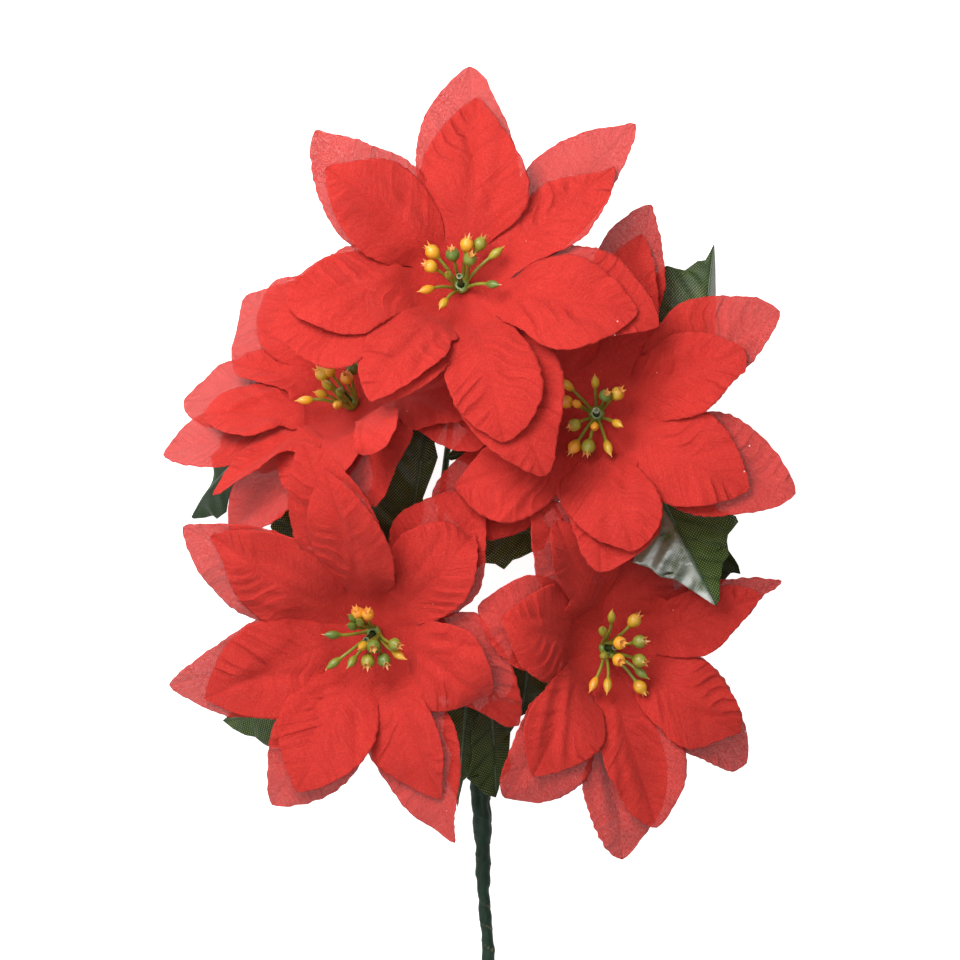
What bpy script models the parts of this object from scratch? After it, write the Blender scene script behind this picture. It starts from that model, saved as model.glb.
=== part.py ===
"""An artificial poinsettia bush of five fabric blooms, laid on its back with the blooms facing up.

Sizes are in millimetres and become metres where a mesh is made. +Z is up and -Y runs down the stem.
Plan positions are measured from the middle of the front view. MIDDLE, the middle of the footprint in
that plan, is the origin of the finished model, which lies on Z = 0.
"""

import math

import bmesh
import bpy
from mathutils import Vector

# Driving dimensions
MM = 0.001
MIDDLE = Vector((-1.0, -36.0, 0.0))
FABRIC = 0.7  # thickness of a petal layer or leaf
TOUCH = 0.3  # gap kept where two pieces touch
LOBES = 7  # petals cut in each layer

# Petal layers
HOLE_R = 1.6
HUB_R = 5.0  # the flat round where the layers are clamped
SLIT_R = 17.0  # the cuts between petals end here
SLIT_GAP = 0.5
FRONT_LIFT = 1.4  # front layer above back layer at the hub
FRONT_OPEN = 4.0  # degrees by which a front petal starts steeper than the back one
STEEPEST_START = 42.0
PETAL_HALF_WIDTH = {"back": 20.0, "front": 19.0}
PETAL_ROWS = (0.18, 0.38, 0.58, 0.78, 0.92)
PETAL_FOLD = {"back": 4.0, "front": 7.0}  # degrees that each half is raised from the rib
PETAL_HANDLE = 0.36  # share of the chord that shapes the rib's curve

# Bloom stem, calyx and peg
STEM_R = 1.3
STEM_END_R = 1.1
PEG_R = 1.0
PEG_TOP = 12.0
CALYX_R = 4.6
CALYX_DEPTH = 10.0
STEM_SIDES = 8

# Stamen spray
COLLAR_HOLE_R = 1.4
COLLAR_R = 3.1
COLLAR_HEIGHT = 2.6
STALK_R = 0.5
STALK_ROOT_R = 2.2
BERRY_REACH = 20.0  # hub to the middle of a berry
LOWEST_BERRY = 9.0
BERRY_SIDES = 6
# Distance from the berry's middle along the stalk, and radius there
CROWNED_BERRY = ((-3.4, 0.7), (-1.6, 2.3), (1.2, 2.7))
BUD = ((-4.0, 0.6), (-1.4, 1.7), (1.2, 1.6))
CROWN = (2.7, 1.6, 1.6)  # height, radius and tooth length of a crowned tip
BUD_TIP = (3.4, 0.5, 1.2)

# Main stem
SOCKET_R = STEM_END_R + TOUCH
SOCKET_DEPTH = 9.0
SOCKET_RING_R = 2.9
SOCKET_SIDES = 12
SOCKET_AZIMUTHS = {"top": 90.0, "left": 162.0, "low_left": 234.0, "low_right": 306.0, "right": 18.0}
MAIN_SIDES = 14
# Down the taped stem: x, y, height of its middle, radius
MAIN_STEM = (
    (1.0, -96.0, 17.0, 4.9),
    (0.8, -106.0, 16.0, 4.9),
    (0.4, -114.0, 15.0, 4.2),
    (0.2, -120.0, 14.2, 3.9),
    (0.6, -126.0, 13.4, 3.6),
    (0.9, -131.0, 12.6, 3.9),
    (1.0, -136.5, 11.9, 3.4),
    (1.1, -141.0, 11.3, 2.7),
    (1.2, -146.0, 10.7, 3.1),
    (1.2, -152.0, 9.9, 2.8),
    (1.4, -159.0, 9.1, 2.4),
    (2.0, -168.0, 8.0, 2.4),
    (3.0, -179.0, 6.8, 2.4),
    (3.6, -196.0, 5.0, 2.5),
    (3.4, -213.0, 3.3, 2.4),
    (3.0, -227.0, 2.4, 2.4),
)

# Petal tips are x, y and z from the bloom's centre, the slope in degrees at the tip and, for a narrower
# petal, its share of the usual width.
# They run anticlockwise from the petal that points up the plan. Berries are x, y and whether crowned.
BLOOMS = {
    "top": {
        "centre": (-6.8, 71.2, 84.0),
        "lean": (24.0, 100.0),
        "turn": {"back": 84.0, "front": 82.0},
        "back": (
            (3.0, 84.0, -6.0, -5.0),
            (-54.8, 59.6, 4.5, -4.0),
            (-71.2, -15.8, 18.0, -15.0),
            (-33.0, -40.0, 20.0, -60.0),
            (31.1, -69.8, 26.0, -10.0),
            (73.5, -13.9, 20.0, -10.0),
            (65.2, 62.2, -4.0, -5.0),
        ),
        "front": (
            (5.6, 72.0, 2.0, -5.0),
            (-50.2, 45.8, 12.0, -10.0),
            (-65.2, -4.9, 25.0, -10.0),
            (-34.1, -42.0, 41.0, 0.0),
            (16.1, -57.4, 34.0, -5.0),
            (65.6, -8.2, 22.0, -10.0),
            (57.0, 46.1, 6.0, -5.0),
        ),
        "berries": (
            (-10.9, 13.9, True),
            (-11.6, 8.3, True),
            (-3.4, 12.8, True),
            (1.9, 16.5, True),
            (6.8, 16.9, True),
            (3.0, 10.9, True),
            (-13.1, -0.4, False),
            (-6.8, -5.6, False),
            (12.8, 13.5, False),
            (-4.9, 4.9, False),
            (11.6, 1.5, False),
        ),
        "stem_bends": ((-34.0, -56.0, 27.0), 48.0),
    },
    "left": {
        "centre": (-46.9, 27.0, 68.0),
        "lean": (50.0, 128.0),
        "turn": {
            "back": (100.0, 144.0, 188.0, 228.0, 266.0, 306.0, 354.0),
            "front": (96.0, 140.0, 184.0, 224.0, 262.0, 302.0, 350.0),
        },
        "back": (
            (-42.4, 43.5, -39.0, -42.0),
            (-64.5, 2.6, -30.0, -40.0),
            (-72.8, -17.6, -10.0, -15.0),
            (-45.0, -45.8, -2.0, -12.0),
            (-25.0, -35.0, 8.0, -40.0),
            (7.5, -37.1, 22.0, -30.0),
            (50.0, -10.0, 16.0, -20.0),
        ),
        "front": (
            (-31.9, 49.1, -28.0, -45.0),
            (-46.5, 17.3, -14.0, -50.0),
            (-57.8, -2.6, 0.0, -35.0),
            (-53.2, -32.6, 16.0, -15.0),
            (-27.0, -29.6, 18.0, -15.0),
            (3.8, -18.0, 44.0, -20.0),
            (45.0, -4.0, 22.0, -30.0),
        ),
        "berries": (
            (-18.8, 3.0, False),
            (-12.8, 5.3, False),
            (-10.5, 8.6, False),
            (-6.5, 1.0, False),
            (-5.5, 5.9, False),
            (-12.4, 12.8, True),
            (-9.8, 14.3, True),
            (-3.0, 11.3, True),
            (-0.8, 15.0, True),
        ),
        "stem_bends": ((-44.0, -62.0, 14.0), 40.0),
    },
    "right": {
        "centre": (43.9, 24.4, 70.0),
        "lean": (8.0, 100.0),
        "turn": {"back": 66.0, "front": 72.0},
        "back": (
            (20.6, 79.5, -4.0, -5.0, 0.85),
            (-28.0, 54.0, -8.0, -45.0),
            (-58.0, 16.0, -6.0, -40.0),
            (-61.9, -31.1, 0.0, -22.0),
            (1.1, -58.9, 29.0, 8.0),
            (73.9, -29.6, 20.0, -5.0),
            (68.2, 38.6, 18.0, -5.0),
        ),
        "front": (
            (17.2, 68.2, 3.0, -5.0, 0.85),
            (-22.0, 46.0, 6.0, -45.0),
            (-50.0, 12.0, 3.0, -34.0),
            (-53.2, -27.0, 22.0, -38.0),
            (13.1, -51.0, 34.0, 0.0),
            (56.6, -28.1, 24.0, -10.0),
            (54.8, 24.4, 26.0, -10.0),
        ),
        "berries": (
            (-11.3, 11.3, False),
            (-0.8, 12.4, False),
            (-7.9, 4.1, False),
            (-1.1, -4.5, False),
            (7.5, -3.4, False),
            (4.1, -12.4, False),
            (3.0, 7.1, True),
            (7.5, 7.9, True),
            (-8.6, -3.8, True),
            (-8.6, -12.0, True),
            (-3.4, -12.0, True),
            (-11.6, 4.9, True),
        ),
        "stem_bends": ((58.0, -62.0, 20.0), 40.0),
    },
    "low_left": {
        "centre": (-39.0, -56.6, 66.0),
        "lean": (25.0, 222.0),
        "turn": {"back": 95.0, "front": 94.0},
        "back": (
            (-27.0, 70.9, 38.0, -8.0, 0.86),
            (-72.8, 39.0, 8.0, -18.0),
            (-78.4, -20.6, -6.0, -10.0),
            (-39.8, -66.4, -8.0, -25.0),
            (29.6, -79.9, 4.0, -5.0),
            (53.6, -36.0, 2.0, -28.0),
            (40.9, 49.1, 12.0, -65.0),
        ),
        "front": (
            (-19.1, 60.4, 44.0, 5.0, 0.9),
            (-62.3, 35.3, 20.0, -10.0),
            (-64.9, -25.9, 4.0, -10.0),
            (-29.6, -60.8, 10.0, -15.0),
            (24.0, -63.4, 12.0, -10.0),
            (41.6, -25.1, 18.0, -60.0),
            (36.4, 36.0, 25.0, -70.0),
        ),
        "berries": (
            (-8.6, 4.9, False),
            (-9.0, 1.9, False),
            (-16.5, -1.5, False),
            (-16.1, -12.4, False),
            (-9.0, -11.6, False),
            (8.6, -9.0, False),
            (-4.9, -5.6, False),
            (-6.0, 3.4, False),
            (-3.0, -11.3, True),
            (3.0, -10.9, True),
            (7.1, -4.9, True),
            (-0.8, -5.6, True),
            (-6.8, 6.8, True),
            (-3.0, 6.4, True),
        ),
        "stem_bends": ((-14.0, -68.0, 16.0), 22.0),
    },
    "low_right": {
        "centre": (46.5, -63.8, 58.0),
        "lean": (22.0, 10.0),
        "turn": {"back": 120.0, "front": 121.0},
        "back": (
            (-25.5, 57.0, 30.0, -26.0),
            (-47.2, 16.5, 24.0, -20.0),
            (-34.9, -56.2, 20.0, -30.0),
            (7.1, -79.1, 10.0, -5.0),
            (55.1, -43.9, -8.0, -30.0),
            (67.9, 25.5, -5.0, -5.0, 0.7),
            (26.0, 39.0, -13.0, -32.0),
        ),
        "front": (
            (-18.0, 48.8, 34.0, -8.0),
            (-38.6, 12.0, 38.0, -10.0),
            (-26.6, -46.9, 30.0, 0.0),
            (20.2, -67.1, 17.0, -5.0),
            (47.6, -34.5, -1.0, -30.0),
            (60.0, 20.0, 6.0, -5.0),
            (22.0, 34.0, -2.0, -40.0),
        ),
        "berries": (
            (3.0, 12.4, False),
            (-0.4, 7.1, False),
            (0.0, -2.3, False),
            (-3.8, -13.1, False),
            (1.5, -13.5, False),
            (14.3, -9.0, False),
            (11.6, 10.9, True),
            (6.0, 2.6, True),
            (13.5, 3.0, True),
            (5.6, -3.8, True),
            (13.5, -4.1, True),
            (13.9, -14.3, True),
        ),
        "stem_bends": ((22.0, -70.0, 17.0), 18.0),
    },
}

# Leaves
# Down the blade: share of its length, and share of its half width there
LEAF_OUTLINE = (
    (0.07, 0.24),
    (0.20, 0.56),
    (0.31, 0.86),
    (0.38, 0.62),
    (0.53, 1.0),
    (0.61, 0.60),
    (0.80, 0.30),
)
PETIOLE_HALF = (0.9, 0.6)  # half its width and half its thickness
# Bloom stem and the share of it where the leaf stands, foot and tip of the blade, half the width over
# the spines, how many degrees each half droops, and how far the blade bows upwards
LEAVES = {
    "right_low_leaf": ("right", 0.86, (64.5, 0.8, 62.0), (88.5, -47.3, 74.0), 21.0, (8.0, 8.0), 6.0),
    "right_under_leaf": ("right", 0.76, (73.5, 3.8, 46.0), (98.3, -35.3, 46.0), 17.0, (8.0, 8.0), 5.0),
    "right_high_leaf": ("right", 0.80, (80.5, 28.0, 52.0), (88.1, 88.5, 58.0), 18.0, (4.0, 80.0), 5.0),
    "right_back_leaf": ("right", 0.66, (62.0, 32.0, 26.0), (90.0, 62.0, 0.35), 17.0, (5.0, 5.0), 5.0),
    "middle_leaf": ("left", 0.40, (-29.0, -36.0, 46.0), (-19.0, 28.5, 62.0), 18.0, (6.0, 6.0), 4.0),
    "middle_right_leaf": ("right", 0.58, (9.4, 15.0, 42.0), (-12.8, 8.6, 50.0), 13.0, (6.0, 6.0), 3.0),
    "middle_low_leaf": ("right", 0.50, (27.0, -18.8, 44.0), (-10.5, -22.5, 52.0), 17.0, (6.0, 6.0), 4.0),
    "left_leaf": ("left", 0.70, (-70.0, 14.0, 38.0), (-112.0, -14.4, 0.35), 15.0, (6.0, 6.0), 8.0),
    "left_low_leaf": ("left", 0.48, (-50.0, -5.0, 32.0), (-86.3, -26.3, 34.0), 14.0, (6.0, 6.0), 5.0),
    "low_left_leaf": ("low_left", 0.40, (-60.0, -84.0, 26.0), (-99.5, -93.0, 8.0), 13.0, (6.0, 6.0), 6.0),
    "stem_left_leaf": ("top", 0.14, (-5.0, -85.0, 36.0), (-8.6, -125.6, 26.0), 11.0, (8.0, 8.0), 3.0),
    "stem_right_leaf": ("low_right", 0.16, (4.0, -84.0, 40.0), (6.0, -112.0, 34.0), 9.0, (8.0, 8.0), 3.0),
    "low_right_leaf": ("right", 0.22, (20.0, -60.0, 36.0), (15.8, -90.5, 28.0), 12.0, (6.0, 6.0), 3.0),
    "back_leaf": ("top", 0.72, (-20.0, 62.0, 0.35), (-44.0, 112.0, 0.35), 17.0, (0.0, 0.0), 0.0),
}

COLOURS = {
    "back_petals": (0.56, 0.035, 0.03),
    "front_petals": (0.62, 0.035, 0.03),
    "stamens": (0.55, 0.36, 0.03),
    "stem": (0.03, 0.09, 0.03),
    "main_stem": (0.02, 0.06, 0.035),
    "leaf": (0.025, 0.05, 0.02),
}
ROUGHNESS = {
    "back_petals": 0.9,
    "front_petals": 0.9,
    "stamens": 0.45,
    "stem": 0.5,
    "main_stem": 0.6,
    "leaf": 0.7,
}


def clear_scene():
    for old in list(bpy.data.objects):
        bpy.data.objects.remove(old)


def make_material(kind):
    material = bpy.data.materials.new(kind)
    material.use_nodes = True
    shader = material.node_tree.nodes["Principled BSDF"]
    shader.inputs["Base Color"].default_value = (*COLOURS[kind], 1.0)
    shader.inputs["Roughness"].default_value = ROUGHNESS[kind]
    shader.inputs["Metallic"].default_value = 0.0
    return material


def make_object(name, mesh_data, origin, material):
    """An object at its natural place, from a bmesh whose points are plan millimetres."""
    place = Vector(origin) - MIDDLE
    for vertex in mesh_data.verts:
        vertex.co = (vertex.co - Vector(origin)) * MM
    mesh = bpy.data.meshes.new(name)
    mesh_data.to_mesh(mesh)
    mesh_data.free()
    mesh.materials.append(material)
    made = bpy.data.objects.new(name, mesh)
    made.location = place * MM
    bpy.context.collection.objects.link(made)
    return made


def thicken(sheet):
    """Gives a sheet its thickness, half to each side, with the same triangles on both faces."""
    solidify = sheet.modifiers.new("thickness", "SOLIDIFY")
    solidify.thickness = FABRIC * MM
    solidify.offset = 0.0


def unit(vector):
    return vector.normalized()


def square_to(direction, axis):
    """The part of a direction that is square to an axis, at unit length."""
    return unit(direction - axis * direction.dot(axis))


def polar(length, azimuth):
    angle = math.radians(azimuth)
    return Vector((length * math.cos(angle), length * math.sin(angle), 0.0))


def bezier(points, t):
    a, b, c, d = points
    s = 1.0 - t
    return a * s**3 + b * (3 * s * s * t) + c * (3 * s * t * t) + d * t**3


def bezier_tangent(points, t):
    a, b, c, d = points
    s = 1.0 - t
    return unit((b - a) * (s * s) + (c - b) * (2 * s * t) + (d - c) * (t * t))


def curve_length(points, steps=24):
    spots = [bezier(points, k / steps) for k in range(steps + 1)]
    return sum((q - p).length for p, q in zip(spots, spots[1:]))


def at_share(points, share, steps=24):
    """The curve parameter at a share of the curve's length."""
    spots = [bezier(points, k / steps) for k in range(steps + 1)]
    lengths = [(q - p).length for p, q in zip(spots, spots[1:])]
    left = share * sum(lengths)
    for k, length in enumerate(lengths):
        if left <= length:
            return (k + left / length) / steps
        left -= length
    return 1.0


class Seat:
    """A bloom's hub: its centre, the way it faces and two directions square to that."""

    def __init__(self, bloom):
        lean, towards = bloom["lean"]
        flat = polar(math.sin(math.radians(lean)), towards)
        self.centre = Vector(bloom["centre"])
        self.face = flat + Vector((0.0, 0.0, math.cos(math.radians(lean))))
        self.across = square_to(Vector((1.0, 0.0, 0.0)), self.face)
        self.up = self.face.cross(self.across)

    def way(self, azimuth):
        angle = math.radians(azimuth)
        return self.across * math.cos(angle) + self.up * math.sin(angle)

    def spot(self, radius, azimuth, height):
        return self.centre + self.way(azimuth) * radius + self.face * height


def petal_half_width(share, widest):
    """An ovate petal's half width at a share of the way from the bloom's centre to the tip."""
    return widest * math.sin(math.pi * share**1.27) ** 0.85


class Petal:
    """One lobe of a layer: the curve of its rib from the slits to the tip, and its width."""

    def __init__(self, seat, layer, azimuths, tip_row):
        azimuth = azimuths[1]
        self.half_angles = [abs(azimuths[1] - azimuths[0]) / 2, abs(azimuths[2] - azimuths[1]) / 2]
        lift = FRONT_LIFT if layer == "front" else 0.0
        tip = seat.centre + Vector(tip_row[:3])
        tip_slope = math.radians(tip_row[3])
        flat = unit(Vector((tip_row[0], tip_row[1], 0.0)))
        tip_way = flat * math.cos(tip_slope) + Vector((0.0, 0.0, math.sin(tip_slope)))
        chord = unit(tip - seat.spot(SLIT_R, azimuth, lift))
        start_way = unit(2.0 * chord - tip_way)
        rise = math.degrees(math.asin(max(-1.0, min(1.0, start_way.dot(seat.face)))))
        rise = max(2.0, min(STEEPEST_START, rise)) + (FRONT_OPEN if layer == "front" else 0.0)
        self.rise = math.tan(math.radians(rise))
        start = seat.spot(SLIT_R, azimuth, lift + self.height(SLIT_R))
        start_way = unit(seat.way(azimuth) + seat.face * self.rise)
        handle = (tip - start).length * PETAL_HANDLE
        self.rib = (start, start + start_way * handle, tip - tip_way * handle, tip)
        self.seat = seat
        self.fold = PETAL_FOLD[layer]
        self.widest = PETAL_HALF_WIDTH[layer] * (tip_row[4] if len(tip_row) > 4 else 1.0)
        self.length = SLIT_R + curve_length(self.rib)

    def height(self, radius):
        """How far the cup has risen at a radius between the flat hub and the slits."""
        return self.rise * max(0.0, radius - HUB_R) ** 2 / (2 * (SLIT_R - HUB_R))

    def section(self, share):
        """Left edge, rib and right edge at a share of the rib's length."""
        t = at_share(self.rib, share)
        along = bezier_tangent(self.rib, t)
        normal = square_to(self.seat.face, along)
        side = normal.cross(along)
        radius = SLIT_R + share * (self.length - SLIT_R)
        widest = petal_half_width(radius / self.length, self.widest)
        fold = math.radians(self.fold)
        middle = bezier(self.rib, t)
        edges = []
        for sign, half_angle in zip((-1.0, 1.0), self.half_angles):
            sector = radius * math.tan(math.radians(min(half_angle, 27.0)))
            width = sector if share == 0.0 else min(widest, sector - SLIT_GAP / 2)
            out = side * (sign * width * math.cos(fold))
            edges.append(middle + out + normal * (width * math.sin(fold)))
        return edges[1], middle, edges[0]


def petal_azimuths(turn):
    """The seven petals' directions round the hub, evenly spread unless each is given."""
    if isinstance(turn, tuple):
        return turn
    return tuple(turn + 360.0 / LOBES * k for k in range(LOBES))


def petal_layer(seat, layer, tips, turn):
    """A die-cut layer as one sheet: rings round the hole, then seven lobes, as a triangulated bmesh."""
    sheet = bmesh.new()
    lift = FRONT_LIFT if layer == "front" else 0.0
    ways = petal_azimuths(turn)
    before = (ways[-1] - 360.0,) + ways[:-1]
    after = ways[1:] + (ways[0] + 360.0,)
    petals = [Petal(seat, layer, near, row) for near, row in zip(zip(before, ways, after), tips)]
    rings = []
    for radius in (HOLE_R, HUB_R):
        ring = []
        for k in range(LOBES):
            ring.append(sheet.verts.new(seat.spot(radius * 1.1, (before[k] + ways[k]) / 2, lift)))
            ring.append(sheet.verts.new(seat.spot(radius, ways[k], lift)))
        rings.append(ring)
    starts = [petal.section(0.0) for petal in petals]
    slit_ends = []
    for k in range(LOBES):
        height = lift + (petals[k].height(SLIT_R) + petals[k - 1].height(SLIT_R)) / 2
        shared = seat.spot(SLIT_R * 1.1, (before[k] + ways[k]) / 2, height)
        slit_ends.append((shared, sheet.verts.new(shared)))
    slit_ring = []
    for k in range(LOBES):
        slit_ring.append(slit_ends[k][1])
        slit_ring.append(sheet.verts.new(starts[k][1]))
    rings.append(slit_ring)
    for inner, outer in zip(rings, rings[1:]):
        for c in range(2 * LOBES):
            d = (c + 1) % (2 * LOBES)
            corners = (inner[c], outer[c], outer[d], inner[d])
            add_quad(sheet, corners, c % 2 == 0)
    for k, petal in enumerate(petals):
        right = slit_ends[k]
        left = slit_ends[(k + 1) % LOBES]
        slips = (left[0] - starts[k][0], right[0] - starts[k][2])
        last = (left[1], slit_ring[2 * k + 1], right[1])
        for share in PETAL_ROWS:
            fade = max(0.0, 1.0 - share / 0.5) ** 2
            points = list(petal.section(share))
            points[0] += slips[0] * fade
            points[2] += slips[1] * fade
            row = tuple(sheet.verts.new(point) for point in points)
            add_quad(sheet, (last[2], row[2], row[1], last[1]), True)
            add_quad(sheet, (last[1], row[1], row[0], last[0]), False)
            last = row
        tip = sheet.verts.new(petal.rib[3])
        sheet.faces.new((last[2], tip, last[1]))
        sheet.faces.new((last[1], tip, last[0]))
    return sheet


def add_quad(sheet, corners, from_first):
    a, b, c, d = corners
    if from_first:
        sheet.faces.new((a, b, c))
        sheet.faces.new((a, c, d))
    else:
        sheet.faces.new((a, b, d))
        sheet.faces.new((b, c, d))


def sweep(path, radii, sides, teeth=0.0):
    """A closed round tube along a path. Teeth lifts every other point of the last ring into a crown."""
    tube = bmesh.new()
    ways = [unit(q - p) for p, q in zip(path, path[1:])]
    ways.append(ways[-1])
    side = square_to(Vector((0.3, 0.5, 0.8)), ways[0])
    rings = []
    for spot, way, radius in zip(path, ways, radii):
        side = square_to(side, way)
        other = way.cross(side)
        ring = []
        for k in range(sides):
            angle = 2 * math.pi * k / sides
            out = side * math.cos(angle) + other * math.sin(angle)
            ring.append(tube.verts.new(spot + out * radius))
        rings.append(ring)
    if teeth:
        for vertex in rings[-1][::2]:
            vertex.co += ways[-1] * teeth
    for low, high in zip(rings, rings[1:]):
        for k in range(sides):
            after = (k + 1) % sides
            add_quad(tube, (low[k], low[after], high[after], high[k]), True)
    for ring, spot, flip in ((rings[0], path[0], True), (rings[-1], path[-1], False)):
        centre = tube.verts.new(spot)
        for k in range(sides):
            after = (k + 1) % sides
            pair = (ring[after], ring[k]) if flip else (ring[k], ring[after])
            tube.faces.new((pair[0], pair[1], centre))
    return tube


def socket_places():
    """Where the five stems enter the main stem's head: the middle of each hole's mouth."""
    head = Vector(MAIN_STEM[0][:3])
    along = unit(head - Vector(MAIN_STEM[1][:3]))
    seat_side = square_to(Vector((1.0, 0.0, 0.0)), along)
    seat_up = seat_side.cross(along)
    places = {}
    for name, azimuth in SOCKET_AZIMUTHS.items():
        angle = math.radians(azimuth)
        out = seat_side * math.cos(angle) + seat_up * math.sin(angle)
        places[name] = head + out * SOCKET_RING_R
    return places, along


def stem_path(name, bloom):
    """The bloom stem's curve from the bottom of its socket to the foot of the calyx."""
    seat = Seat(bloom)
    places, along = socket_places()
    foot = places[name] - along * (SOCKET_DEPTH - TOUCH)
    mouth = places[name] + along * 3.0
    top = seat.centre - seat.face * CALYX_DEPTH
    bend, drop = bloom["stem_bends"]
    curve = (mouth, Vector(bend), top - seat.face * drop, top)
    return foot, curve


def bloom_stem(name, bloom):
    """Stem, calyx cup and peg in one, as turned rings along the stem's curve."""
    seat = Seat(bloom)
    foot, curve = stem_path(name, bloom)
    path = [foot]
    radii = [STEM_END_R]
    bends = 12
    for k in range(bends):
        t = k / bends
        path.append(bezier(curve, t))
        radii.append(STEM_END_R if k == 0 else STEM_R)
    seam = -(FABRIC / 2 + TOUCH)
    for height, radius in (
        (-CALYX_DEPTH, STEM_R),
        (-7.0, 2.2),
        (-4.0, 3.4),
        (-1.6, 4.4),
        (seam, CALYX_R),
        (seam + 0.05, PEG_R),
        (PEG_TOP - 1.2, PEG_R),
        (PEG_TOP, PEG_R * 1.2),
    ):
        path.append(seat.centre + seat.face * height)
        radii.append(radius)
    return sweep(path, radii, STEM_SIDES)


def collar(seat):
    """The ring that the berries' stalks grow from, round the peg."""
    low = FRONT_LIFT + FABRIC / 2 + TOUCH
    ring = bmesh.new()
    sides = 12
    profile = (
        (COLLAR_HOLE_R, low),
        (COLLAR_R - 0.5, low),
        (COLLAR_R, low + COLLAR_HEIGHT * 0.6),
        (COLLAR_R - 0.4, low + COLLAR_HEIGHT),
        (COLLAR_HOLE_R, low + COLLAR_HEIGHT),
    )
    loops = []
    for k in range(sides):
        azimuth = 360.0 * k / sides
        loops.append([ring.verts.new(seat.spot(r, azimuth, h)) for r, h in profile])
    for k in range(sides):
        here, after = loops[k], loops[(k + 1) % sides]
        for j in range(len(profile)):
            i = (j + 1) % len(profile)
            add_quad(ring, (here[j], after[j], after[i], here[i]), True)
    return ring


def berry(seat, row):
    """One stalk with its crowned berry or pointed bud, from inside the collar outwards."""
    x, y, crowned = row
    height = math.sqrt(max(BERRY_REACH**2 - x * x - y * y, LOWEST_BERRY**2))
    middle = seat.centre + Vector((x, y, height))
    flat = square_to(middle - seat.centre, seat.face)
    root_height = FRONT_LIFT + FABRIC / 2 + TOUCH + COLLAR_HEIGHT / 2
    root = seat.centre + flat * STALK_ROOT_R + seat.face * root_height
    lift = root + seat.face * 5.0
    way = unit(middle - lift)
    profile = CROWNED_BERRY if crowned else BUD
    end, end_radius, teeth = CROWN if crowned else BUD_TIP
    path = [root]
    path += [middle + way * distance for distance, _ in profile]
    path.append(middle + way * end)
    radii = [STALK_R] + [radius for _, radius in profile] + [end_radius]
    return sweep(path, radii, BERRY_SIDES, teeth)


def stamen_spray(name, bloom, material):
    """Collar and berries of one bloom, joined into one body."""
    seat = Seat(bloom)
    place = tuple(seat.centre)
    spray = make_object(name + "_stamens", collar(seat), place, material)
    pieces = bpy.data.collections.new(name + "_pieces")
    bpy.context.scene.collection.children.link(pieces)
    for k, row in enumerate(bloom["berries"]):
        piece = make_object(f"{name}_berry_{k}", berry(seat, row), place, material)
        bpy.context.collection.objects.unlink(piece)
        pieces.objects.link(piece)
    union = spray.modifiers.new("join", "BOOLEAN")
    union.operation = "UNION"
    union.operand_type = "COLLECTION"
    union.collection = pieces
    apply_modifiers(spray)
    for piece in list(pieces.objects):
        bpy.data.objects.remove(piece)
    bpy.data.collections.remove(pieces)
    return spray


def apply_modifiers(made):
    """Replaces an object's mesh by what its modifiers give."""
    bpy.context.view_layer.update()
    graph = bpy.context.evaluated_depsgraph_get()
    finished = bpy.data.meshes.new_from_object(made.evaluated_get(graph))
    made.modifiers.clear()
    made.data = finished


def main_stem(material):
    """The taped bundle, with a plain hole in its head for each bloom stem."""
    path = [Vector(row[:3]) for row in MAIN_STEM]
    radii = [row[3] for row in MAIN_STEM]
    stem = make_object("main_stem", sweep(path, radii, MAIN_SIDES), path[-1], material)
    places, along = socket_places()
    for name, mouth in places.items():
        ends = (mouth - along * SOCKET_DEPTH, mouth + along * 2.0)
        hole = sweep(ends, (SOCKET_R, SOCKET_R), SOCKET_SIDES)
        cutter = make_object(f"socket_{name}", hole, mouth, material)
        cutter.hide_render = True
        cutter.display_type = "WIRE"
        cut = stem.modifiers.new(f"socket_{name}", "BOOLEAN")
        cut.operation = "DIFFERENCE"
        cut.object = cutter
    apply_modifiers(stem)
    for name in places:
        bpy.data.objects.remove(bpy.data.objects[f"socket_{name}"])
    return stem


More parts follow.
